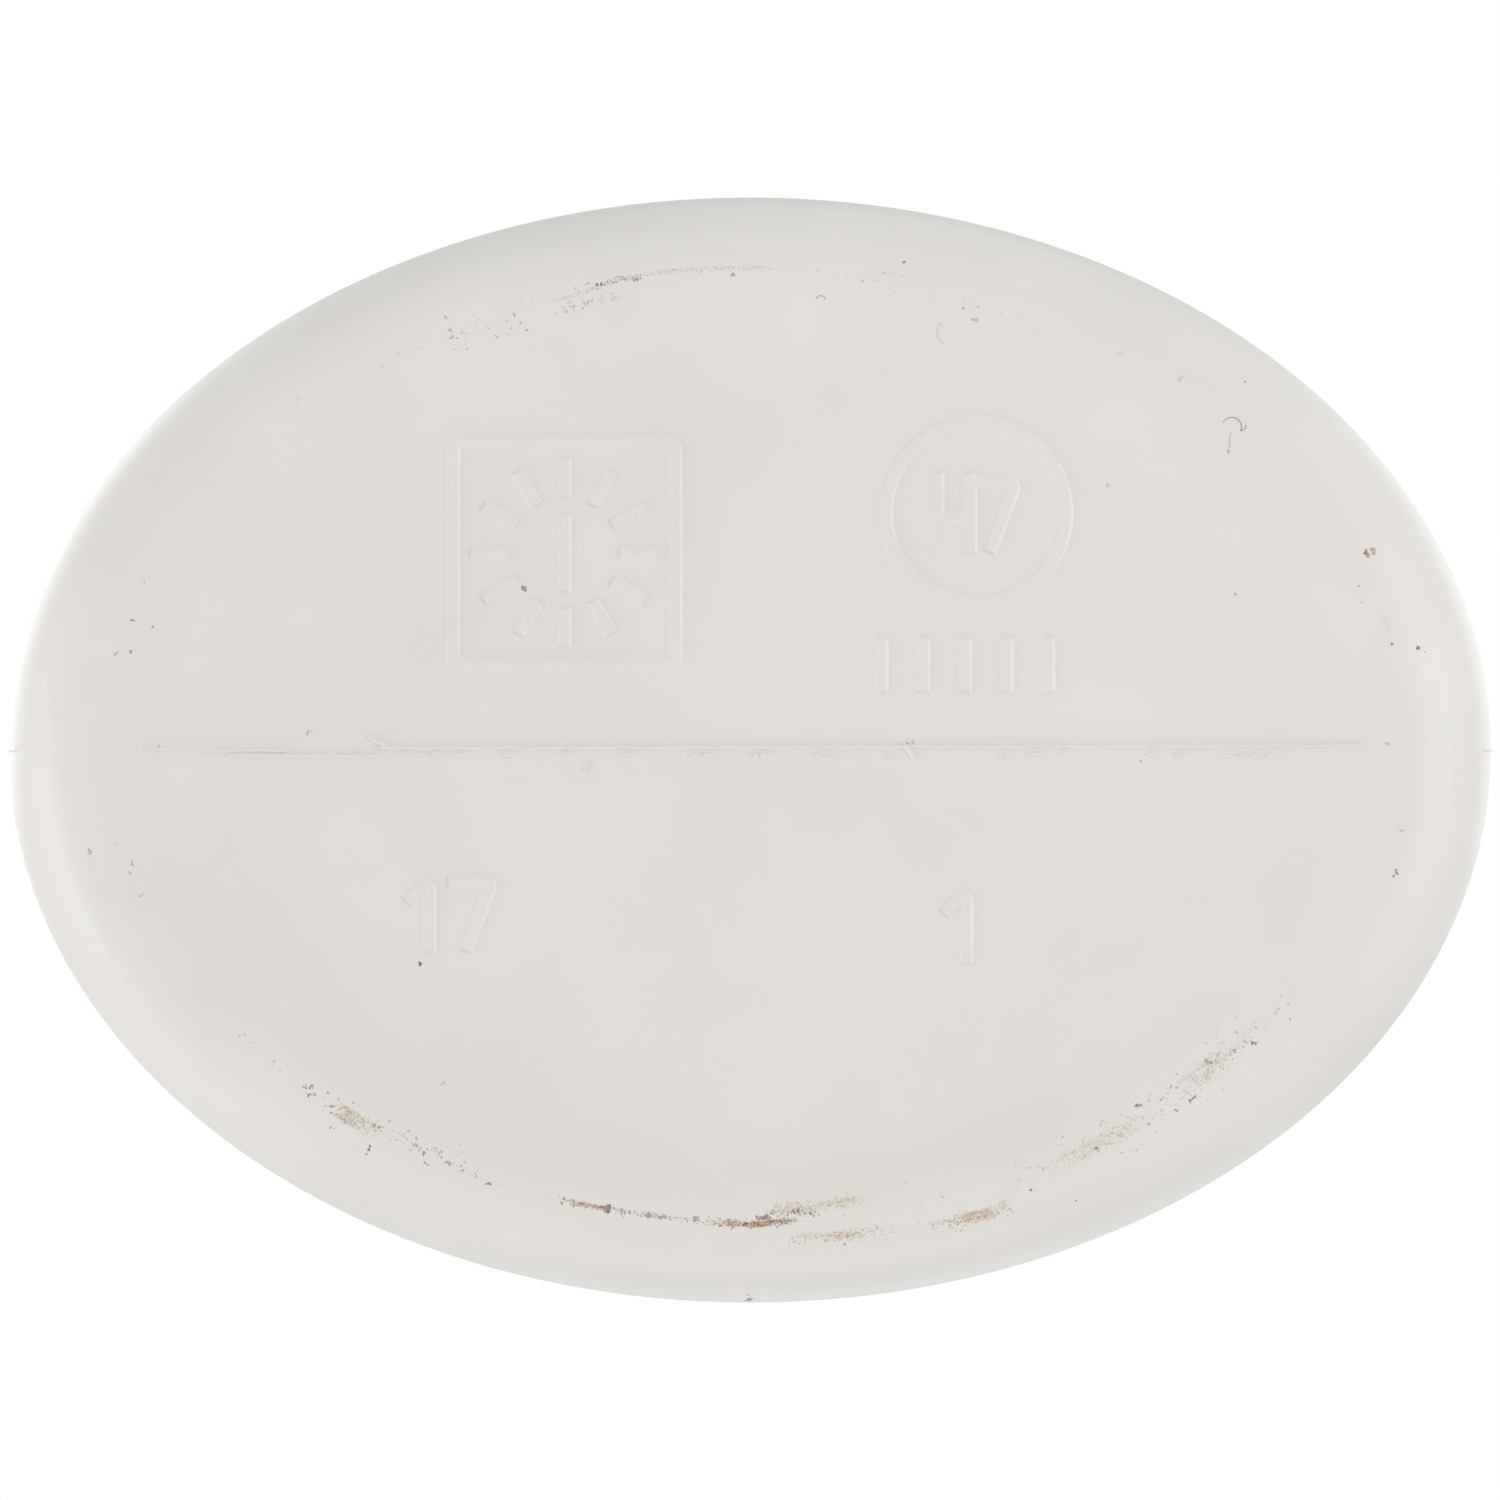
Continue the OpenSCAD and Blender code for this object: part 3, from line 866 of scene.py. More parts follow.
BROWN_SPECKS = [
    (38.4, -12.2, 0.22, 0.16, -35, 0.9),
    (-14.1, -10.1, 0.14, 0.22, 10, 0.85),
    (2.9, 28.7, 0.2, 0.18, 0, 1.0),
    (-9.0, 28.5, 0.45, 0.22, 25, 0.9),
    (-9.5, 28.4, 0.3, 0.12, 30, 0.8),
    (-7.6, 28.8, 0.14, 0.1, 0, 0.8),
    (-6.3, 29.0, 0.3, 0.1, 0, 0.8),
    (-5.5, 29.1, 0.26, 0.12, 0, 0.9),
    (-3.4, 29.2, 0.4, 0.12, 0, 0.7),
    (-1.3, 29.6, 0.4, 0.22, 60, 0.7),
    (0.9, 29.1, 0.5, 0.2, 0, 0.8),
    (-25.2, 23.1, 0.16, 0.14, 0, 0.8),
    (-23.6, 23.3, 0.3, 0.1, 0, 0.8),
    (-23.1, 23.5, 0.1, 0.12, 0, 0.7),
    (40.2, 7.7, 0.12, 0.3, 0, 0.8),
    (40.6, 5.1, 0.12, 0.12, 0, 0.5),
    (14.6, 28.9, 0.2, 0.14, 0, 0.6),
    (-0.1, 34.5, 0.2, 0.3, 0, 0.8),
]
TAN_SPECKS = [
    (38.7, -12.3, 0.36, 0.2, -35, 0.9),
    (9.7, -0.35, 0.7, 0.14, -15, 0.7),
    (-24.8, 22.9, 0.55, 0.3, -35, 0.5),
    (2.4, 28.5, 1.1, 0.35, -5, 0.45),
]
print("grit", len(GREY_SPECKS + BROWN_SPECKS + TAN_SPECKS))

# %% Dust
# first angle, last angle, out, spread, grains, strength
GREY_DUST = [
    (-118, -106, 0.45, 0.12, 50, 0.75),
    (-106, -99, 0.42, 0.12, 50, 1.0),
    (-99, -94, 0.40, 0.08, 16, 0.7),
    (-94, -88, 0.42, 0.10, 60, 1.0),
    (-88, -83, 0.42, 0.08, 36, 1.0),
    (-83, -76, 0.40, 0.22, 36, 0.7),
    (-119, -111, -0.90, 0.40, 40, 0.55),
    (-109, -102, -1.00, 0.20, 50, 0.5),
    (-128, -121, 0.00, 0.50, 20, 0.4),
    (-71, -63, 0.00, 0.30, 14, 0.6),
    (137, 144, -0.40, 0.35, 26, 0.3),
    (131, 135, -0.20, 0.35, 18, 0.7),
    (125, 132, -0.10, 0.50, 46, 0.6),
    (117, 126, -0.80, 0.40, 70, 0.6),
    (113, 117, -0.30, 0.25, 16, 0.5),
    (60, 66, -0.20, 0.45, 40, 0.4),
    (52, 60, -0.50, 0.60, 80, 0.4),
    (46, 56, -0.20, 0.75, 100, 0.45),
    (36, 46, -0.60, 0.60, 90, 0.5),
    (29, 36, -0.20, 0.50, 24, 0.4),
    (70, 86, -0.60, 0.80, 34, 0.25),
]
BROWN_DUST = [
    (101, 108, -0.38, 0.14, 60, 0.85),
    (97, 102, -0.38, 0.08, 24, 0.75),
    (86, 94, -0.20, 0.18, 110, 0.95),
    (84, 88, -0.95, 0.20, 44, 0.85),
    (126, 131, -0.10, 0.40, 40, 0.6),
    (68, 72, 1.35, 0.40, 24, 0.4),
]
TAN_DUST = [
    (80, 88, -1.40, 0.30, 50, 0.6),
    (79, 87, 0.80, 0.35, 60, 0.7),
    (67, 74, 1.35, 0.45, 70, 0.7),
    (126, 131, -0.10, 0.50, 50, 0.7),
    (38, 60, -0.50, 0.70, 90, 0.5),
]
print("dust grains", sum(row[4] for row in GREY_DUST + BROWN_DUST + TAN_DUST))

# %% [markdown]
# ## White polyethylene
# Blown polyethylene is neither gloss nor matt: it has a satin skin with a very fine grain from
# the sandblasted mould, and thicker and thinner places make it faintly cloudy. Light that sinks
# in comes back within a millimetre, so the tone holds it: true subsurface scattering would go
# wrong where beads are sunk in the wall. One function makes the material of all three pieces,
# each with a tone and a grain of its own, so that the cap looks harder and glossier.

# %% The plastic
def satin_plastic(name, tone, roughness, grain, grain_depth, wave_depth):
    """A satin white plastic. Returns the material, its tree, its shader and its points in mm."""
    material = bpy.data.materials.new(name)
    tree = fresh_nodes(material)
    where = place(tree, "ShaderNodeTexCoord").outputs["Object"]
    point = place(tree, "ShaderNodeVectorMath", {0: where, "Scale": 1 / MM},
                  operation="SCALE").outputs[0]

    cloud = place(tree, "ShaderNodeTexNoise", {
        "Vector": point, "Scale": 0.07, "Detail": 3.0, "Roughness": 0.55})
    cloudy = place(tree, "ShaderNodeMapRange", {
        "Value": cloud.outputs["Fac"], "From Min": 0.3, "From Max": 0.7})
    tint = place(tree, "ShaderNodeMix", {
        0: cloudy.outputs[0],
        "A": (*[c * 0.975 for c in tone], 1.0),
        "B": (*[min(1.0, c * 1.012) for c in tone], 1.0)}, data_type="RGBA")

    fine = place(tree, "ShaderNodeTexNoise", {
        "Vector": point, "Scale": grain, "Detail": 2.0, "Roughness": 0.6})
    wave = place(tree, "ShaderNodeTexNoise", {
        "Vector": point, "Scale": 0.11, "Detail": 1.0, "Roughness": 0.5})
    first = place(tree, "ShaderNodeBump", {
        "Height": wave.outputs["Fac"], "Strength": 1.0, "Distance": wave_depth * MM})
    bump = place(tree, "ShaderNodeBump", {
        "Height": fine.outputs["Fac"], "Strength": 1.0, "Distance": grain_depth * MM,
        "Normal": first.outputs["Normal"]})
    uneven = place(tree, "ShaderNodeMapRange", {
        "Value": fine.outputs["Fac"], "From Min": 0.3, "From Max": 0.7,
        "To Min": roughness - 0.05, "To Max": roughness + 0.06})

    shader = place(tree, "ShaderNodeBsdfPrincipled", {
        "Base Color": tint.outputs["Result"], "Roughness": uneven.outputs[0], "IOR": 1.52,
        "Normal": bump.outputs["Normal"]})
    place(tree, "ShaderNodeOutputMaterial", {"Surface": shader.outputs[0]})
    return material, tree, shader, point


CREAM_WHITE = (0.80, 0.776, 0.737)
CAP_WHITE = (0.83, 0.815, 0.785)
FOAM_WHITE = (0.84, 0.835, 0.80)
bottle_plastic, bottle_tree, bottle_shader, bottle_point = satin_plastic(
    "bottle_polyethylene", CREAM_WHITE, 0.46, 3.2, 0.012, 0.25)
cap_plastic = satin_plastic("cap_polypropylene", CAP_WHITE, 0.33, 2.4, 0.004, 0.05)[0]
print("plastics", bottle_plastic.name, cap_plastic.name)

# %% [markdown]
# ## Laying the dirt over the bottle's plastic
# Each lane lays a thin wash first and its grains over it: tan, then grey, then brown. Dirt
# also takes the shine off, so the same masks raise the roughness. Only the underside has any.

# %% Masks in the bottle's material
def ring_point(tree, point):
    """Where a point lies: its share of the way round, and millimetres out from the ring."""
    parts = place(tree, "ShaderNodeSeparateXYZ", {"Vector": point})
    across = calc(tree, "DIVIDE", parts.outputs["X"], half_w)
    along = calc(tree, "DIVIDE", parts.outputs["Y"], half_d)
    squares = calc(tree, "ADD", calc(tree, "MULTIPLY", across, across),
                   calc(tree, "MULTIPLY", along, along))
    out = calc(tree, "SUBTRACT", calc(tree, "SQRT", squares), ring_middle)
    turn = calc(tree, "DIVIDE", calc(tree, "ARCTAN2", along, across), math.tau)
    return calc(tree, "ADD", turn, 0.5), calc(tree, "MULTIPLY", out, ring_scale)


def curve_value(tree, share, values, low, high):
    """A value that follows a table round the oval."""
    node = place(tree, "ShaderNodeFloatCurve", {"Value": share})
    points = node.mapping.curves[0].points
    for i, value in enumerate(values):
        spot = (i / (len(values) - 1), (value - low) / (high - low))
        if i == 0:
            points[0].location = spot
        elif i == len(values) - 1:
            points[len(points) - 1].location = spot
        else:
            points.new(*spot)
    for point in points:
        point.handle_type = "VECTOR"
    node.mapping.update()
    return calc(tree, "ADD", calc(tree, "MULTIPLY", node.outputs[0], high - low), low)


def lane_masks(tree, table, share, out, streaks, grains):
    """One lane's wash and grains."""
    node = place(tree, "ShaderNodeGroup", {"Out": out, "Streaks": streaks, "Grains": grains},
                 node_tree=DIRT_LANE)
    for k, (label, low, high) in enumerate((("Middle", -3.0, 3.0), ("Half width", 0.0, 4.0),
                                            ("Fill", 0.0, 1.0), ("Strength", 0.0, 1.0))):
        plug(tree, curve_value(tree, share, [row[k] for row in table], low, high),
             node.inputs[label])
    return node.outputs["Wash"], node.outputs["Grains"]


# %% The dirt's colours
GREY_DIRT = (0.17, 0.145, 0.12, 1.0)
BROWN_DIRT = (0.22, 0.09, 0.03, 1.0)
TAN_DIRT = (0.47, 0.35, 0.21, 1.0)
GREY_WASH = (0.62, 0.575, 0.51, 1.0)
BROWN_WASH = (0.45, 0.27, 0.12, 1.0)
TAN_WASH = (0.62, 0.51, 0.36, 1.0)

share, out = ring_point(bottle_tree, bottle_point)
stretched = place(bottle_tree, "ShaderNodeCombineXYZ", {
    "X": calc(bottle_tree, "MULTIPLY", share, math.tau * ring_reach * 0.45),
    "Y": calc(bottle_tree, "MULTIPLY", out, 2.2)})
streaks = place(bottle_tree, "ShaderNodeTexNoise", {
    "Vector": stretched.outputs[0], "Scale": 1.0, "Detail": 4.0, "Roughness": 0.62}).outputs["Fac"]
grains = place(bottle_tree, "ShaderNodeTexNoise", {
    "Vector": bottle_point, "Scale": 6.5, "Detail": 2.0, "Roughness": 0.7}).outputs["Fac"]
height = place(bottle_tree, "ShaderNodeSeparateXYZ", {"Vector": bottle_point}).outputs["Z"]
underside = ease_between(bottle_tree, height, 5.5, 3.0)

colour = bottle_shader.inputs["Base Color"].links[0].from_socket
dull = 0.0
for name, wash_tone, dirt in (("tan", TAN_WASH, TAN_DIRT), ("outer tan", TAN_WASH, TAN_DIRT),
                              ("grey", GREY_WASH, GREY_DIRT), ("brown", BROWN_WASH, BROWN_DIRT)):
    for mask, tone in zip(lane_masks(bottle_tree, lanes[name], share, out, streaks, grains),
                          (wash_tone, dirt)):
        mask = calc(bottle_tree, "MULTIPLY", mask, underside)
        layer = place(bottle_tree, "ShaderNodeMix", {0: mask, "A": colour, "B": tone},
                      data_type="RGBA")
        colour = layer.outputs["Result"]
        dull = calc(bottle_tree, "MAXIMUM", dull, mask)
plug(bottle_tree, colour, bottle_shader.inputs["Base Color"])
shine = bottle_shader.inputs["Roughness"].links[0].from_socket
plug(bottle_tree, calc(bottle_tree, "ADD", shine, calc(bottle_tree, "MULTIPLY", dull, 0.3),
                       clamp=True), bottle_shader.inputs["Roughness"])
print("nodes in the bottle's material", len(bottle_tree.nodes))

# %% [markdown]
# ## The bottle's piece
# The shell and all its beads become one mesh, because they are one moulding. bmesh joins them
# and turns every face outwards. The beads stay closed bodies that are sunk into the skin.

# %% Joining meshes into one piece
def joined_object(name, meshes, material, lowest=None):
    """One object from several closed meshes, facing outwards, with no point below lowest."""
    bm = bmesh.new()
    for mesh in meshes:
        bm.from_mesh(mesh)
        bpy.data.meshes.remove(mesh)
    bmesh.ops.recalc_face_normals(bm, faces=bm.faces)
    if lowest is not None:
        for corner in bm.verts:
            corner.co.z = max(corner.co.z, lowest * MM)
    whole = bpy.data.meshes.new(name)
    bm.to_mesh(whole)
    bm.free()
    for leftover in ("side", "swell", "draw_in", "size", "turn", "facing"):
        if leftover in whole.attributes:
            whole.attributes.remove(whole.attributes[leftover])
    whole.materials.clear()
    whole.materials.append(material)
    return new_object(name, whole)


def joined_piece(name, meshes, material, body, node):
    """A joined object that takes the place of a node."""
    piece = joined_object(name, meshes, material)
    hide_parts(node)
    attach(piece, body)
    print(name, "triangles", sum(len(p.vertices) - 2 for p in piece.data.polygons))


# %% The bottle
joined_piece("bottle_shell", [
    turned("bottle_wall", bottle_section, 192, bottle_plastic),
    swept_beads("raised_marks", mark_paths, stroke_w, mark_h, bottle_plastic, flat=0.4,
                sink=0.03),
    swept_beads("pinched_line", pinch_paths, pinch_w, pinch_h, bottle_plastic, flat=0.1,
                section_points=9),
    swept_beads("side_seams", seam_paths, seam_w, SEAM_HEIGHT, bottle_plastic, flat=0.1,
                sink=0.05, section_points=9),
    swept_beads("neck_thread", [neck_thread], thread_w, thread_out, bottle_plastic, flat=0.38,
                sink=0.15),
], bottle_plastic, "bottle", "bottle")

# %% [markdown]
# ## Grit and hairs
# Each grain is a flattened ball, sunk halfway into the plastic, stretched and turned. A small
# row is one grain, and a larger one is a seeded cluster of fine grains. One tree puts them in
# place and roughens them with noise, so that no two look the same.
# A faint grain is one that is nearly the plastic's own colour, so every point carries a tone,
# and the material reads it. Hairs are thin threads, curled along parts of circles.

# %% Where the grit lies
under_section = bottom_outside + heel_outside[1:]
under_radii = [r for r, z in under_section]
under_heights = [z for r, z in under_section]


def under_surface(x, y):
    """The height of the underside at a place, and the direction that it faces."""
    def height_at(x, y):
        return float(np.interp(math.hypot(x, y / outer_in), under_radii, under_heights))
    step = 0.05
    slope_x = (height_at(x + step, y) - height_at(x - step, y)) / (2 * step)
    slope_y = (height_at(x, y + step) - height_at(x, y - step)) / (2 * step)
    return height_at(x, y), Vector((slope_x, slope_y, -1.0)).normalized()


def dirt_tone(dirt, strength):
    """A dirt's colour, thinned with the plastic's."""
    return [d * strength + c * (1 - strength) for d, c in zip(dirt, CREAM_WHITE)]


def with_dirt(grey, brown, tan):
    """Every row with its dirt's colour."""
    kinds = ((grey, GREY_DIRT), (brown, BROWN_DIRT), (tan, TAN_DIRT))
    return [(row, dirt) for rows, dirt in kinds for row in rows]


def add_grain(grains, at, size, turn, tone):
    """One grain on the underside. Its place and its size are in millimetres."""
    z, facing = under_surface(*at)
    grains["at"].append((at[0] * MM, at[1] * MM, z * MM))
    grains["size"].append(tuple(s * MM for s in size))
    grains["turn"].append(turn)
    grains["facing"].append(tuple(facing))
    grains["tone"].append(tuple(tone))


def grain_points(name, grains):
    """A mesh of points that carry each grain's size, turn, direction and tone."""
    mesh = bpy.data.meshes.new(name)
    mesh.from_pydata(grains["at"], [], [])
    mesh.attributes.new("turn", "FLOAT", "POINT").data.foreach_set("value", grains["turn"])
    for label in ("size", "facing", "tone"):
        flat = [number for value in grains[label] for number in value]
        mesh.attributes.new(label, "FLOAT_VECTOR", "POINT").data.foreach_set("vector", flat)
    return new_object(name, mesh)


# %% Points for the grit and the dust
most_grains = 16
area_per_grain = 0.009
grit_thick = 0.015
dust_thick = 0.012


def grit_points():
    """The grit's points: one for a small row, a seeded cluster for a larger one."""
    grains = {"at": [], "size": [], "turn": [], "facing": [], "tone": []}
    chance = random.Random(5)
    rows = with_dirt(GREY_SPECKS, BROWN_SPECKS, TAN_SPECKS)
    for (x, y, half_length, half_width, turn, strength), dirt in rows:
        count = min(most_grains, max(1, round(half_length * half_width / area_per_grain)))
        along = Vector((math.cos(math.radians(turn)), math.sin(math.radians(turn))))
        for i in range(count):
            off = Vector((0.0, 0.0))
            grain = Vector((half_length, half_width)) * 0.75
            thin = strength
            if count > 1:
                t = math.tau * chance.random()
                far = math.sqrt(chance.random())
                off = along * half_length * far * math.cos(t)
                off += Vector((-along.y, along.x)) * half_width * far * math.sin(t)
                grain = Vector((0.08 + 0.1 * chance.random(), 0.06 + 0.05 * chance.random()))
                thin = strength * (0.6 + 0.4 * chance.random())
            spin = math.radians(-turn) + (count > 1) * math.tau * chance.random()
            add_grain(grains, (x + off.x, y + off.y), (grain.x, grain.y, grit_thick), spin,
                      dirt_tone(dirt, thin))
    return grain_points("grit_points", grains)


def dust_points():
    """The dust's points: fine grains scattered between two angles."""
    grains = {"at": [], "size": [], "turn": [], "facing": [], "tone": []}
    chance = random.Random(9)
    rows = with_dirt(GREY_DUST, BROWN_DUST, TAN_DUST)
    for (first, last, out, spread, count, strength), dirt in rows:
        for i in range(count):
            angle = math.radians(first + (last - first) * chance.random())
            reach = ring_middle + chance.gauss(out, spread) / ring_scale
            at = (half_w * reach * math.cos(angle), half_d * reach * math.sin(angle))
            large = chance.random() ** 3
            size = (0.04 + 0.12 * large, 0.035 + 0.055 * large, dust_thick)
            spin = math.tau * chance.random()
            thin = strength * (0.5 + 0.5 * chance.random())
            add_grain(grains, at, size, spin, dirt_tone(dirt, thin))
    return grain_points("dust_points", grains)


# %% The tree that lays the grit
def read(tree, name, kind):
    """A named attribute's socket."""
    node = place(tree, "GeometryNodeInputNamedAttribute", {"Name": name}, data_type=kind)
    return node.outputs["Attribute"]


def grit_tree():
    tree, given, out = new_tree("Grit", [
        ("Roughen", "Float", 0.00005), ("Noise scale", "Float", 9000.0),
        ("Subdivisions", "Int", 2), ("Material", "Material", None)])
    ball = place(tree, "GeometryNodeMeshIcoSphere", {
        "Radius": 1.0, "Subdivisions": given.outputs["Subdivisions"]})
    aligned = place(tree, "FunctionNodeAlignRotationToVector", {
        "Vector": read(tree, "facing", "FLOAT_VECTOR")}, axis="Z")
    spin = place(tree, "FunctionNodeAxisAngleToRotation", {
        "Axis": (0.0, 0.0, 1.0), "Angle": read(tree, "turn", "FLOAT")})
    rotation = place(tree, "FunctionNodeRotateRotation", {
        "Rotation": aligned.outputs[0], "Rotate By": spin.outputs[0]}, rotation_space="LOCAL")
    grains = place(tree, "GeometryNodeInstanceOnPoints", {
        "Points": given.outputs[0], "Instance": ball.outputs[0],
        "Rotation": rotation.outputs[0], "Scale": read(tree, "size", "FLOAT_VECTOR")})
    loose = place(tree, "GeometryNodeRealizeInstances", {"Geometry": grains.outputs[0]})
    noise = place(tree, "ShaderNodeTexNoise", {
        "Scale": given.outputs["Noise scale"], "Detail": 1.0})
    centred = place(tree, "ShaderNodeVectorMath", {
        0: noise.outputs["Color"], 1: (0.5, 0.5, 0.5)}, operation="SUBTRACT")
    moved = place(tree, "ShaderNodeVectorMath", {
        0: centred.outputs[0], "Scale": calc(tree, "MULTIPLY", given.outputs["Roughen"], 4.0)},
        operation="SCALE")
    level = place(tree, "ShaderNodeVectorMath", {
        0: moved.outputs[0], 1: (1.0, 1.0, 0.0)}, operation="MULTIPLY")
    rough = place(tree, "GeometryNodeSetPosition", {
        "Geometry": loose.outputs[0], "Offset": level.outputs[0]})
    finish_tree(tree, rough.outputs[0], given, out)
    return tree


GRIT = grit_tree()
print("tree", GRIT.name)

# %% Grit's finish
def grit_finish():
    """A matt material that takes its tone from each point."""
    material = bpy.data.materials.new("grit_and_hairs")
    tree = fresh_nodes(material)
    tone = place(tree, "ShaderNodeAttribute", attribute_name="tone").outputs["Color"]
    shader = place(tree, "ShaderNodeBsdfPrincipled", {"Base Color": tone, "Roughness": 0.85})
    place(tree, "ShaderNodeOutputMaterial", {"Surface": shader.outputs[0]})
    return material


# %% Hairs
# x, y, radius, first angle, span, strength
HAIRS = [
    (30.0, -20.1, 0.62, -150, 175, 0.85),
    (30.6, -20.2, 0.3, -10, 120, 0.8),
    (31.2, -19.2, 1.35, 165, 40, 0.5),
    (4.4, -28.0, 0.3, -160, 150, 0.7),
    (12.4, -26.0, 0.75, 115, 120, 0.25),
    (-8.1, -29.0, 0.5, -140, 120, 0.6),
]
hair_w = 0.09
hair_h = 0.03
hair_steps = 14


def hair_path(x, y, radius, start, span):
    """A hair along part of a circle on the underside."""
    points = []
    swells = []
    for i in range(hair_steps + 1):
        t = math.radians(start + span * i / hair_steps)
        at = (x + radius * math.cos(t), y + radius * math.sin(t))
        points.append(Vector((*at, under_surface(*at)[0])))
        swells.append(0.6 + 0.4 * math.sin(math.pi * i / hair_steps))
    return with_sides(points, False, swells)


print("hairs", len(HAIRS))

# %% Grit and hairs as one piece
# No grain reaches lower than this, in millimetres: the floor lies just below it.
grit_lowest = -0.02
grit_material = grit_finish()
parts = [
    run_tree(GRIT, grit_points(), {"Material": grit_material}),
    run_tree(GRIT, dust_points(), {
        "Roughen": 0.00002, "Subdivisions": 1, "Material": grit_material})]
for x, y, radius, start, span, strength in HAIRS:
    hair = swept_beads("hair", [hair_path(x, y, radius, start, span)], hair_w, hair_h,
                       grit_material, flat=0.1, sink=0.02, section_points=7)
    tone = hair.attributes.new("tone", "FLOAT_VECTOR", "POINT")
    tone.data.foreach_set("vector", dirt_tone(GREY_DIRT, strength) * len(hair.vertices))
    parts.append(hair)
grit = joined_object("grit_and_hairs", parts, grit_material, lowest=grit_lowest)
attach(grit, "bottle")
print("grit and hairs", len(grit.data.polygons), "faces",
      [a.name for a in grit.data.attributes])

# %% [markdown]
# ## The cap
# The cap is injection moulded: an outer wall with grip ribs, a top plate with a shallow dish,
# and an inner skirt that carries the thread. The section is turned like the bottle's. One rib
# is swept, and a small tree copies it round the cap, turned by an equal share each time.

# %% The cap's section
cap_r = 18.6
cap_wall = 1.4
skirt_wall = 1.4
cap_round = 2.0
dish = 0.4
dish_rim = 3.4
thread_gap = 0.4
skirt_gap = 0.8
cap_z = cap_low[2] / MM
cap_top_z = cap_high[2] / MM
plate_z = liner_high[2] / MM
skirt_r = neck_r + thread_out + thread_gap
skirt_z = bead_z + bead_h + skirt_gap
cap_section = rounded([
    (0.0, cap_top_z - dish, 0.0),
    (cap_r - dish_rim - dish, cap_top_z - dish, 0.5),
    (cap_r - dish_rim, cap_top_z, 0.3),
    (cap_r, cap_top_z, cap_round),
    (cap_r, cap_z, 0.35),
    (cap_r - cap_wall, cap_z, 0.2),
    (cap_r - cap_wall, plate_z, 0.5),
    (skirt_r + skirt_wall, plate_z, 0.3),
    (skirt_r + skirt_wall, skirt_z, 0.3),
    (skirt_r, skirt_z, 0.5),
    (skirt_r, plate_z, 0.1),
    (0.0, plate_z, 0.0)], steps=7)
print("cap from z", round(cap_z, 2), "to", round(cap_top_z, 2), "mm")


# %% The tree that copies a rib round the axis
def ring_of_ribs_tree():
    tree, given, out = new_tree("Ring of ribs", [
        ("Count", "Int", 54), ("Material", "Material", None)])
    count = given.outputs["Count"]
    points = place(tree, "GeometryNodePoints", {"Count": count})
    index = place(tree, "GeometryNodeInputIndex").outputs[0]
    turn = calc(tree, "MULTIPLY", calc(tree, "DIVIDE", index, count), math.tau)
    rotation = place(tree, "ShaderNodeCombineXYZ", {"Z": turn})
    copies = place(tree, "GeometryNodeInstanceOnPoints", {
        "Points": points.outputs[0], "Instance": given.outputs[0],
        "Rotation": rotation.outputs[0]})
    finish_tree(tree, copies.outputs[0], given, out)
    return tree


RING_OF_RIBS = ring_of_ribs_tree()

# %% One rib, and all of them
ribs = 54
rib_w = 1.25
rib_h = 0.35
band_h = 1.6


def rib_path(z_from, z_to, reach=0.6, steps=6):
    """An upright rib on the cap's wall, with rounded ends."""
    shares = [math.radians(90 * i / steps) for i in range(steps + 1)]
    heights = [z_from + reach * (1 - math.cos(t)) for t in shares]
    heights += [z_to - reach * (1 - math.cos(t)) for t in reversed(shares)]
    swells = [max(0.05, math.sin(t)) for t in shares]
    points = [Vector((cap_r, 0.0, z)) for z in heights]
    return points, False, {"side": [(0.0, 1.0, 0.0)] * len(points), "swell": swells + swells[::-1]}


one_rib = swept_beads("one_rib", [rib_path(cap_z + band_h, cap_top_z - cap_round + 0.3)], rib_w,
                      rib_h, cap_plastic, flat=0.2, sink=0.15, section_points=11)
all_ribs = run_tree(RING_OF_RIBS, new_object("rib_start", one_rib), {
    "Count": ribs, "Material": cap_plastic})
print("ribs", ribs, "faces", len(all_ribs.polygons))

# %% The cap
cap_thread_from = -0.25
cap_thread = helix(skirt_r, -1, neck_thread_z + (cap_thread_from - 0.5) * pitch,
                   cap_thread_from, cap_turns)
joined_piece("ribbed_cap", [
    turned("cap_wall", with_draw_in(cap_section, 1.0), 216, cap_plastic),
    all_ribs,
    swept_beads("cap_thread", [cap_thread], thread_w, thread_out, cap_plastic, flat=0.38,
                sink=0.15),
], cap_plastic, "cap", "screw_cap")

# %% [markdown]
# ## The liner
# A soft disc of foamed polyethylene lies in the cap and seals it on the rim. Its shape is a
# plain disc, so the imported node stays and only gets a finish: small closed cells, seen as tiny
# soft pits.

# %% Foam for the liner
def foam():
    """The satin plastic with small soft pits."""
    material, tree, shader, point = satin_plastic(
        "liner_foam", FOAM_WHITE, 0.7, 1.5, 0.02, 0.05)
    cells = place(tree, "ShaderNodeTexVoronoi", {"Vector": point, "Scale": 2.4})
    pits = place(tree, "ShaderNodeBump", {
        "Height": cells.outputs["Distance"], "Strength": 0.6, "Distance": 0.08 * MM,
        "Normal": shader.inputs["Normal"].links[0].from_socket})
    plug(tree, pits.outputs["Normal"], shader.inputs["Normal"])
    return material


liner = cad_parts["cap_liner"]
liner_foam = foam()
if not liner.data.materials:
    liner.data.materials.append(liner_foam)
for material_slot in liner.material_slots:
    material_slot.material = liner_foam
print("liner slots", len(liner.material_slots))

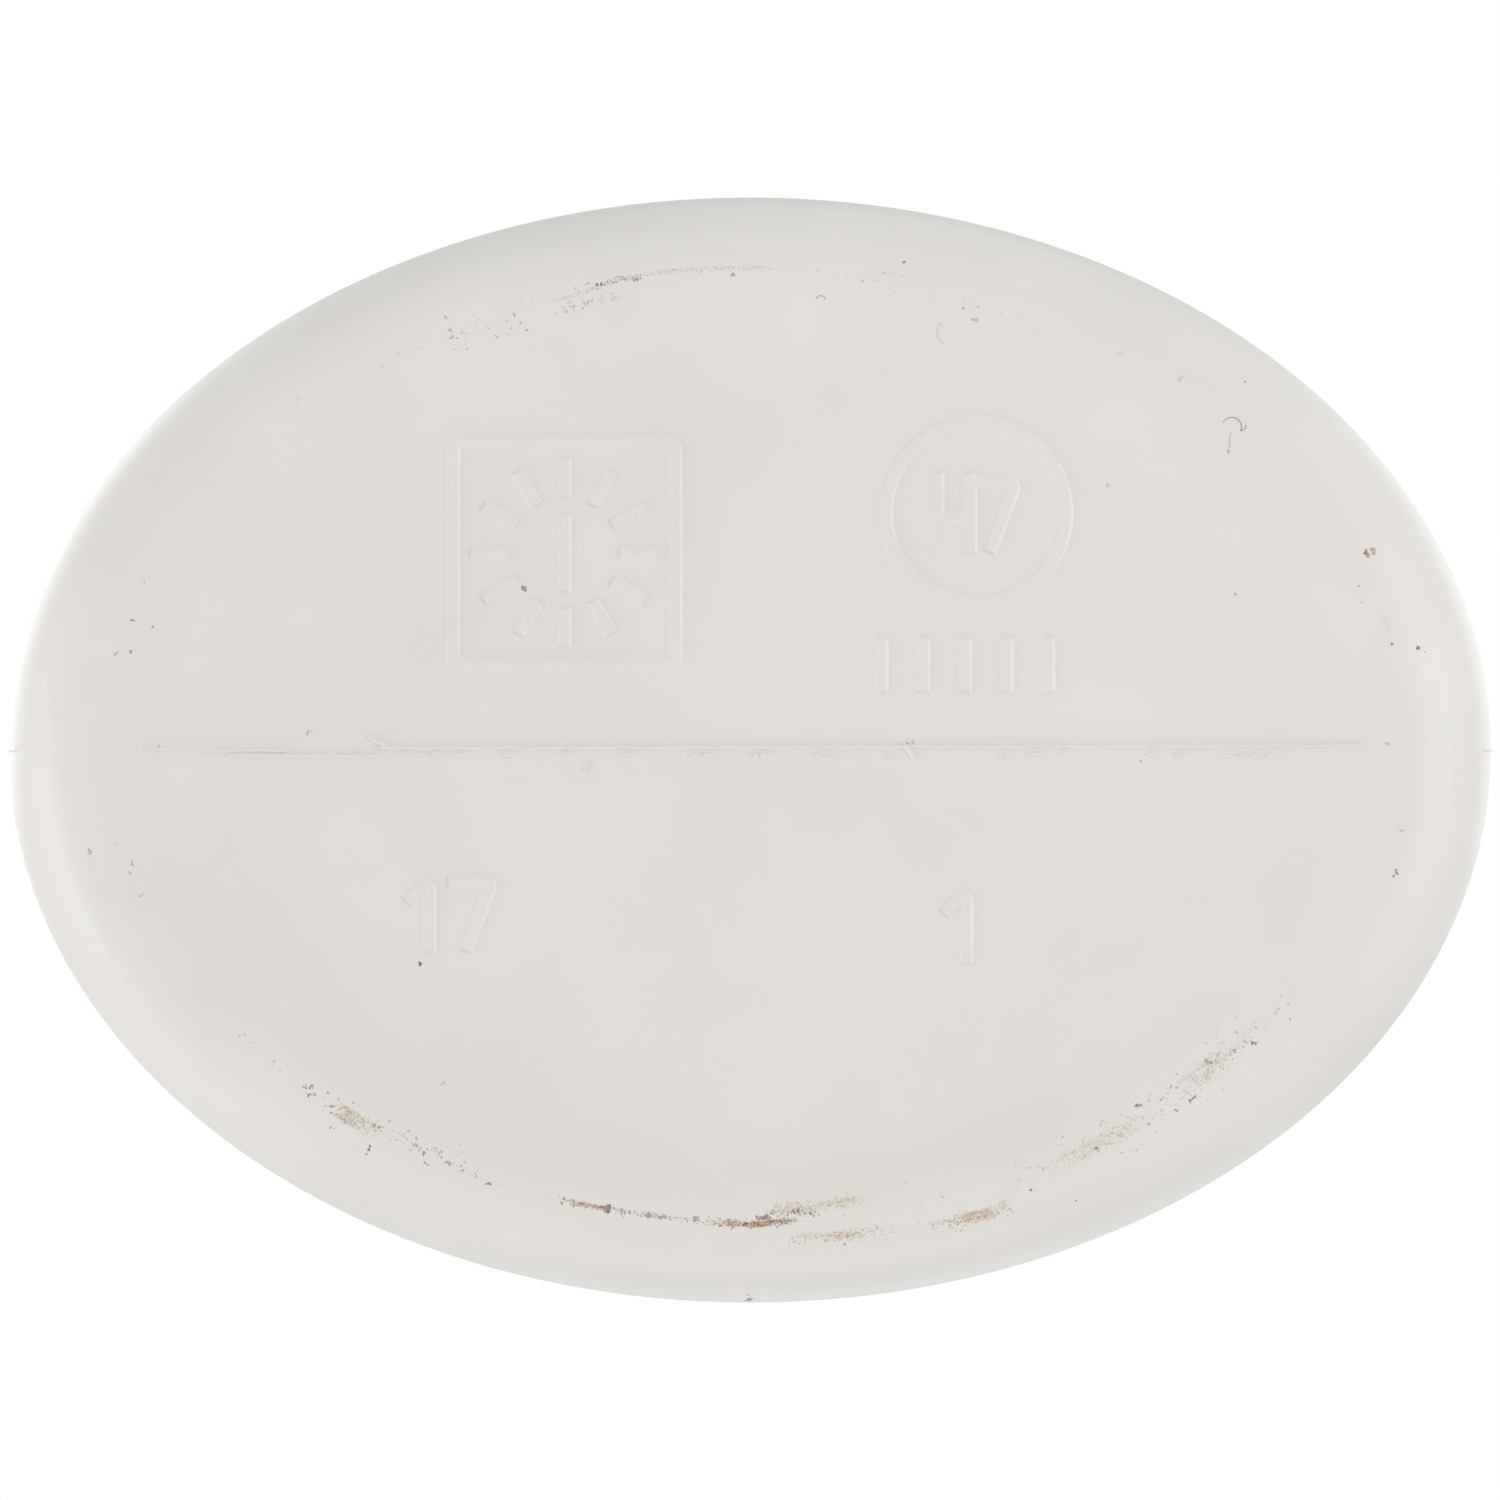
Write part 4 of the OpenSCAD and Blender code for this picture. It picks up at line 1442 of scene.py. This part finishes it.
# %% [markdown]
# ## The floor and the background
# The bottle stands on a pale floor, and the photograph looks up at it from under that floor. So
# the floor is plain from above and clear from below: its shader asks which side of the face is
# seen. From above it fades into the backdrop's grey with distance, like a paper sweep, so no
# horizon cuts the picture. It is left out of bounced light and of shadows, so that the lamps
# below reach the bottle, and the world's soft white fills in for the light that it would have
# thrown up. It lies a twentieth of a millimetre low, because faces in one plane flicker in a
# render.

# %% The floor
BACKDROP = (0.60, 0.60, 0.595, 1.0)


floor_z = -0.05
fade_from = 0.1
fade_to = 0.7


def pale_floor(size=6.0):
    """A floor that is matt from above and fades with distance, and is clear from below."""
    material = bpy.data.materials.new("pale_floor")
    tree = fresh_nodes(material)
    matt = place(tree, "ShaderNodeBsdfDiffuse", {"Color": BACKDROP})
    backdrop = place(tree, "ShaderNodeEmission", {"Color": BACKDROP, "Strength": 1.0})
    where = place(tree, "ShaderNodeTexCoord").outputs["Object"]
    away = place(tree, "ShaderNodeVectorMath", {0: where}, operation="LENGTH").outputs["Value"]
    top = place(tree, "ShaderNodeMixShader", {
        0: ease_between(tree, away, fade_from, fade_to), 1: matt.outputs[0],
        2: backdrop.outputs[0]})
    clear = place(tree, "ShaderNodeBsdfTransparent")
    seen_side = place(tree, "ShaderNodeNewGeometry").outputs["Backfacing"]
    mix = place(tree, "ShaderNodeMixShader", {
        0: seen_side, 1: top.outputs[0], 2: clear.outputs[0]})
    place(tree, "ShaderNodeOutputMaterial", {"Surface": mix.outputs[0]})
    half = size / 2
    z = floor_z * MM
    mesh = bpy.data.meshes.new("floor")
    mesh.from_pydata([(-half, -half, z), (half, -half, z), (half, half, z), (-half, half, z)],
                     [], [(0, 1, 2, 3)])
    mesh.materials.append(material)
    floor = new_object("floor", mesh)
    for ray in ("diffuse", "glossy", "transmission", "volume_scatter", "shadow"):
        setattr(floor, "visible_" + ray, False)
    print("floor", size, "m wide")


pale_floor()

# %% [markdown]
# The world gives the bottle an even soft light. The camera sees it as plain white straight
# above, which is the photograph's background, and as the backdrop's grey lower down, where a
# white bottle would not stand out from white.

# %% The world: a soft fill to the bottle, white overhead to the camera
WHITE = (1.0, 1.0, 1.0, 1.0)


def soft_world(fill):
    """An even soft light, which the camera sees as grey low down and as white overhead."""
    world = bpy.data.worlds.new("studio")
    tree = fresh_nodes(world)
    soft = place(tree, "ShaderNodeBackground", {"Color": WHITE, "Strength": fill})
    direction = place(tree, "ShaderNodeTexCoord").outputs["Generated"]
    upwards = place(tree, "ShaderNodeSeparateXYZ", {"Vector": direction}).outputs["Z"]
    tone = place(tree, "ShaderNodeMix", {
        0: ease_between(tree, upwards, 0.3, 0.9), "A": BACKDROP, "B": WHITE}, data_type="RGBA")
    plain = place(tree, "ShaderNodeBackground", {
        "Color": tone.outputs["Result"], "Strength": 1.0})
    seen = place(tree, "ShaderNodeLightPath").outputs["Is Camera Ray"]
    mix = place(tree, "ShaderNodeMixShader", {0: seen, 1: soft.outputs[0], 2: plain.outputs[0]})
    place(tree, "ShaderNodeOutputWorld", {"Surface": mix.outputs[0]})
    bpy.context.scene.world = world
    print("world", world.name)


soft_world(0.57)

# %% [markdown]
# ## Lamps
# Soft boxes below the floor light the bottom: a wide one straight under it, and one low at each
# narrow end, which brightens the heel there. The left one is stronger and grazes the marks. Two
# weaker ones light the long sides of the heel. Four boxes above the floor shape the bottle in
# the other views. The two strong ones stand off the narrow ends, where their glancing shine
# suits the photograph.

# %% Soft boxes
def soft_box(name, at, towards, width, height, power):
    """A rectangular lamp that lights but isn't seen."""
    lamp = bpy.data.lights.new(name, "AREA")
    lamp.shape = "RECTANGLE"
    lamp.size = width
    lamp.size_y = height
    lamp.energy = power
    box = new_object(name, lamp)
    box.location = at
    box.rotation_euler = (Vector(towards) - Vector(at)).to_track_quat("-Z", "Y").to_euler()
    box.visible_camera = False


body_middle = (0.0, 0.0, 0.09)
bottom_middle = (0.0, 0.0, 0.0)
soft_box("under_fill", (0.0, 0.0, -1.0), bottom_middle, 0.9, 0.9, 0.95)
soft_box("under_left", (-0.55, 0.15, -0.09), bottom_middle, 0.5, 0.16, 1.2)
soft_box("under_right", (0.55, 0.0, -0.3), bottom_middle, 0.3, 0.3, 1.1)
soft_box("under_front", (0.0, -0.6, -0.4), bottom_middle, 0.4, 0.4, 0.8)
soft_box("under_back", (0.0, 0.6, -0.15), bottom_middle, 0.4, 0.24, 0.55)
soft_box("key", (-0.85, -0.3, 1.15), body_middle, 0.8, 0.8, 4.6)
soft_box("fill", (0.85, -0.2, 1.1), body_middle, 0.8, 0.8, 3.0)
soft_box("front", (0.1, -1.1, 0.6), body_middle, 0.8, 0.6, 0.8)
soft_box("rim", (0.2, 0.9, 1.1), body_middle, 0.8, 0.8, 1.6)
print("lamps", len(bpy.data.lights))

# %% [markdown]
# ## The camera
# The camera looks straight up from under the bottle, with the -Y side at the top of the
# picture. A long lens keeps the bottom's two levels at nearly one scale. The distance is set so
# that the body's width fills 1480 of the picture's 1500 pixels, as in the photograph.

# %% The camera below
picture_side = 1500
seen_width = 1480
lens = 150.0
sensor = 36.0
frame_width = 2 * half_w * picture_side / seen_width
distance = frame_width * lens / sensor
camera_data = bpy.data.cameras.new("camera")
camera_data.lens = lens
camera_data.sensor_width = sensor
camera_data.clip_start = 0.01
camera = new_object("camera", camera_data)
camera.location = (0.0, 0.0, (heel_h - distance) * MM)
camera.rotation_euler = (math.pi, 0.0, 0.0)
bpy.context.scene.camera = camera
bpy.context.scene.view_settings.view_transform = "Standard"
bpy.context.scene.view_settings.look = "None"
print("camera", round(distance), "mm below the heel")
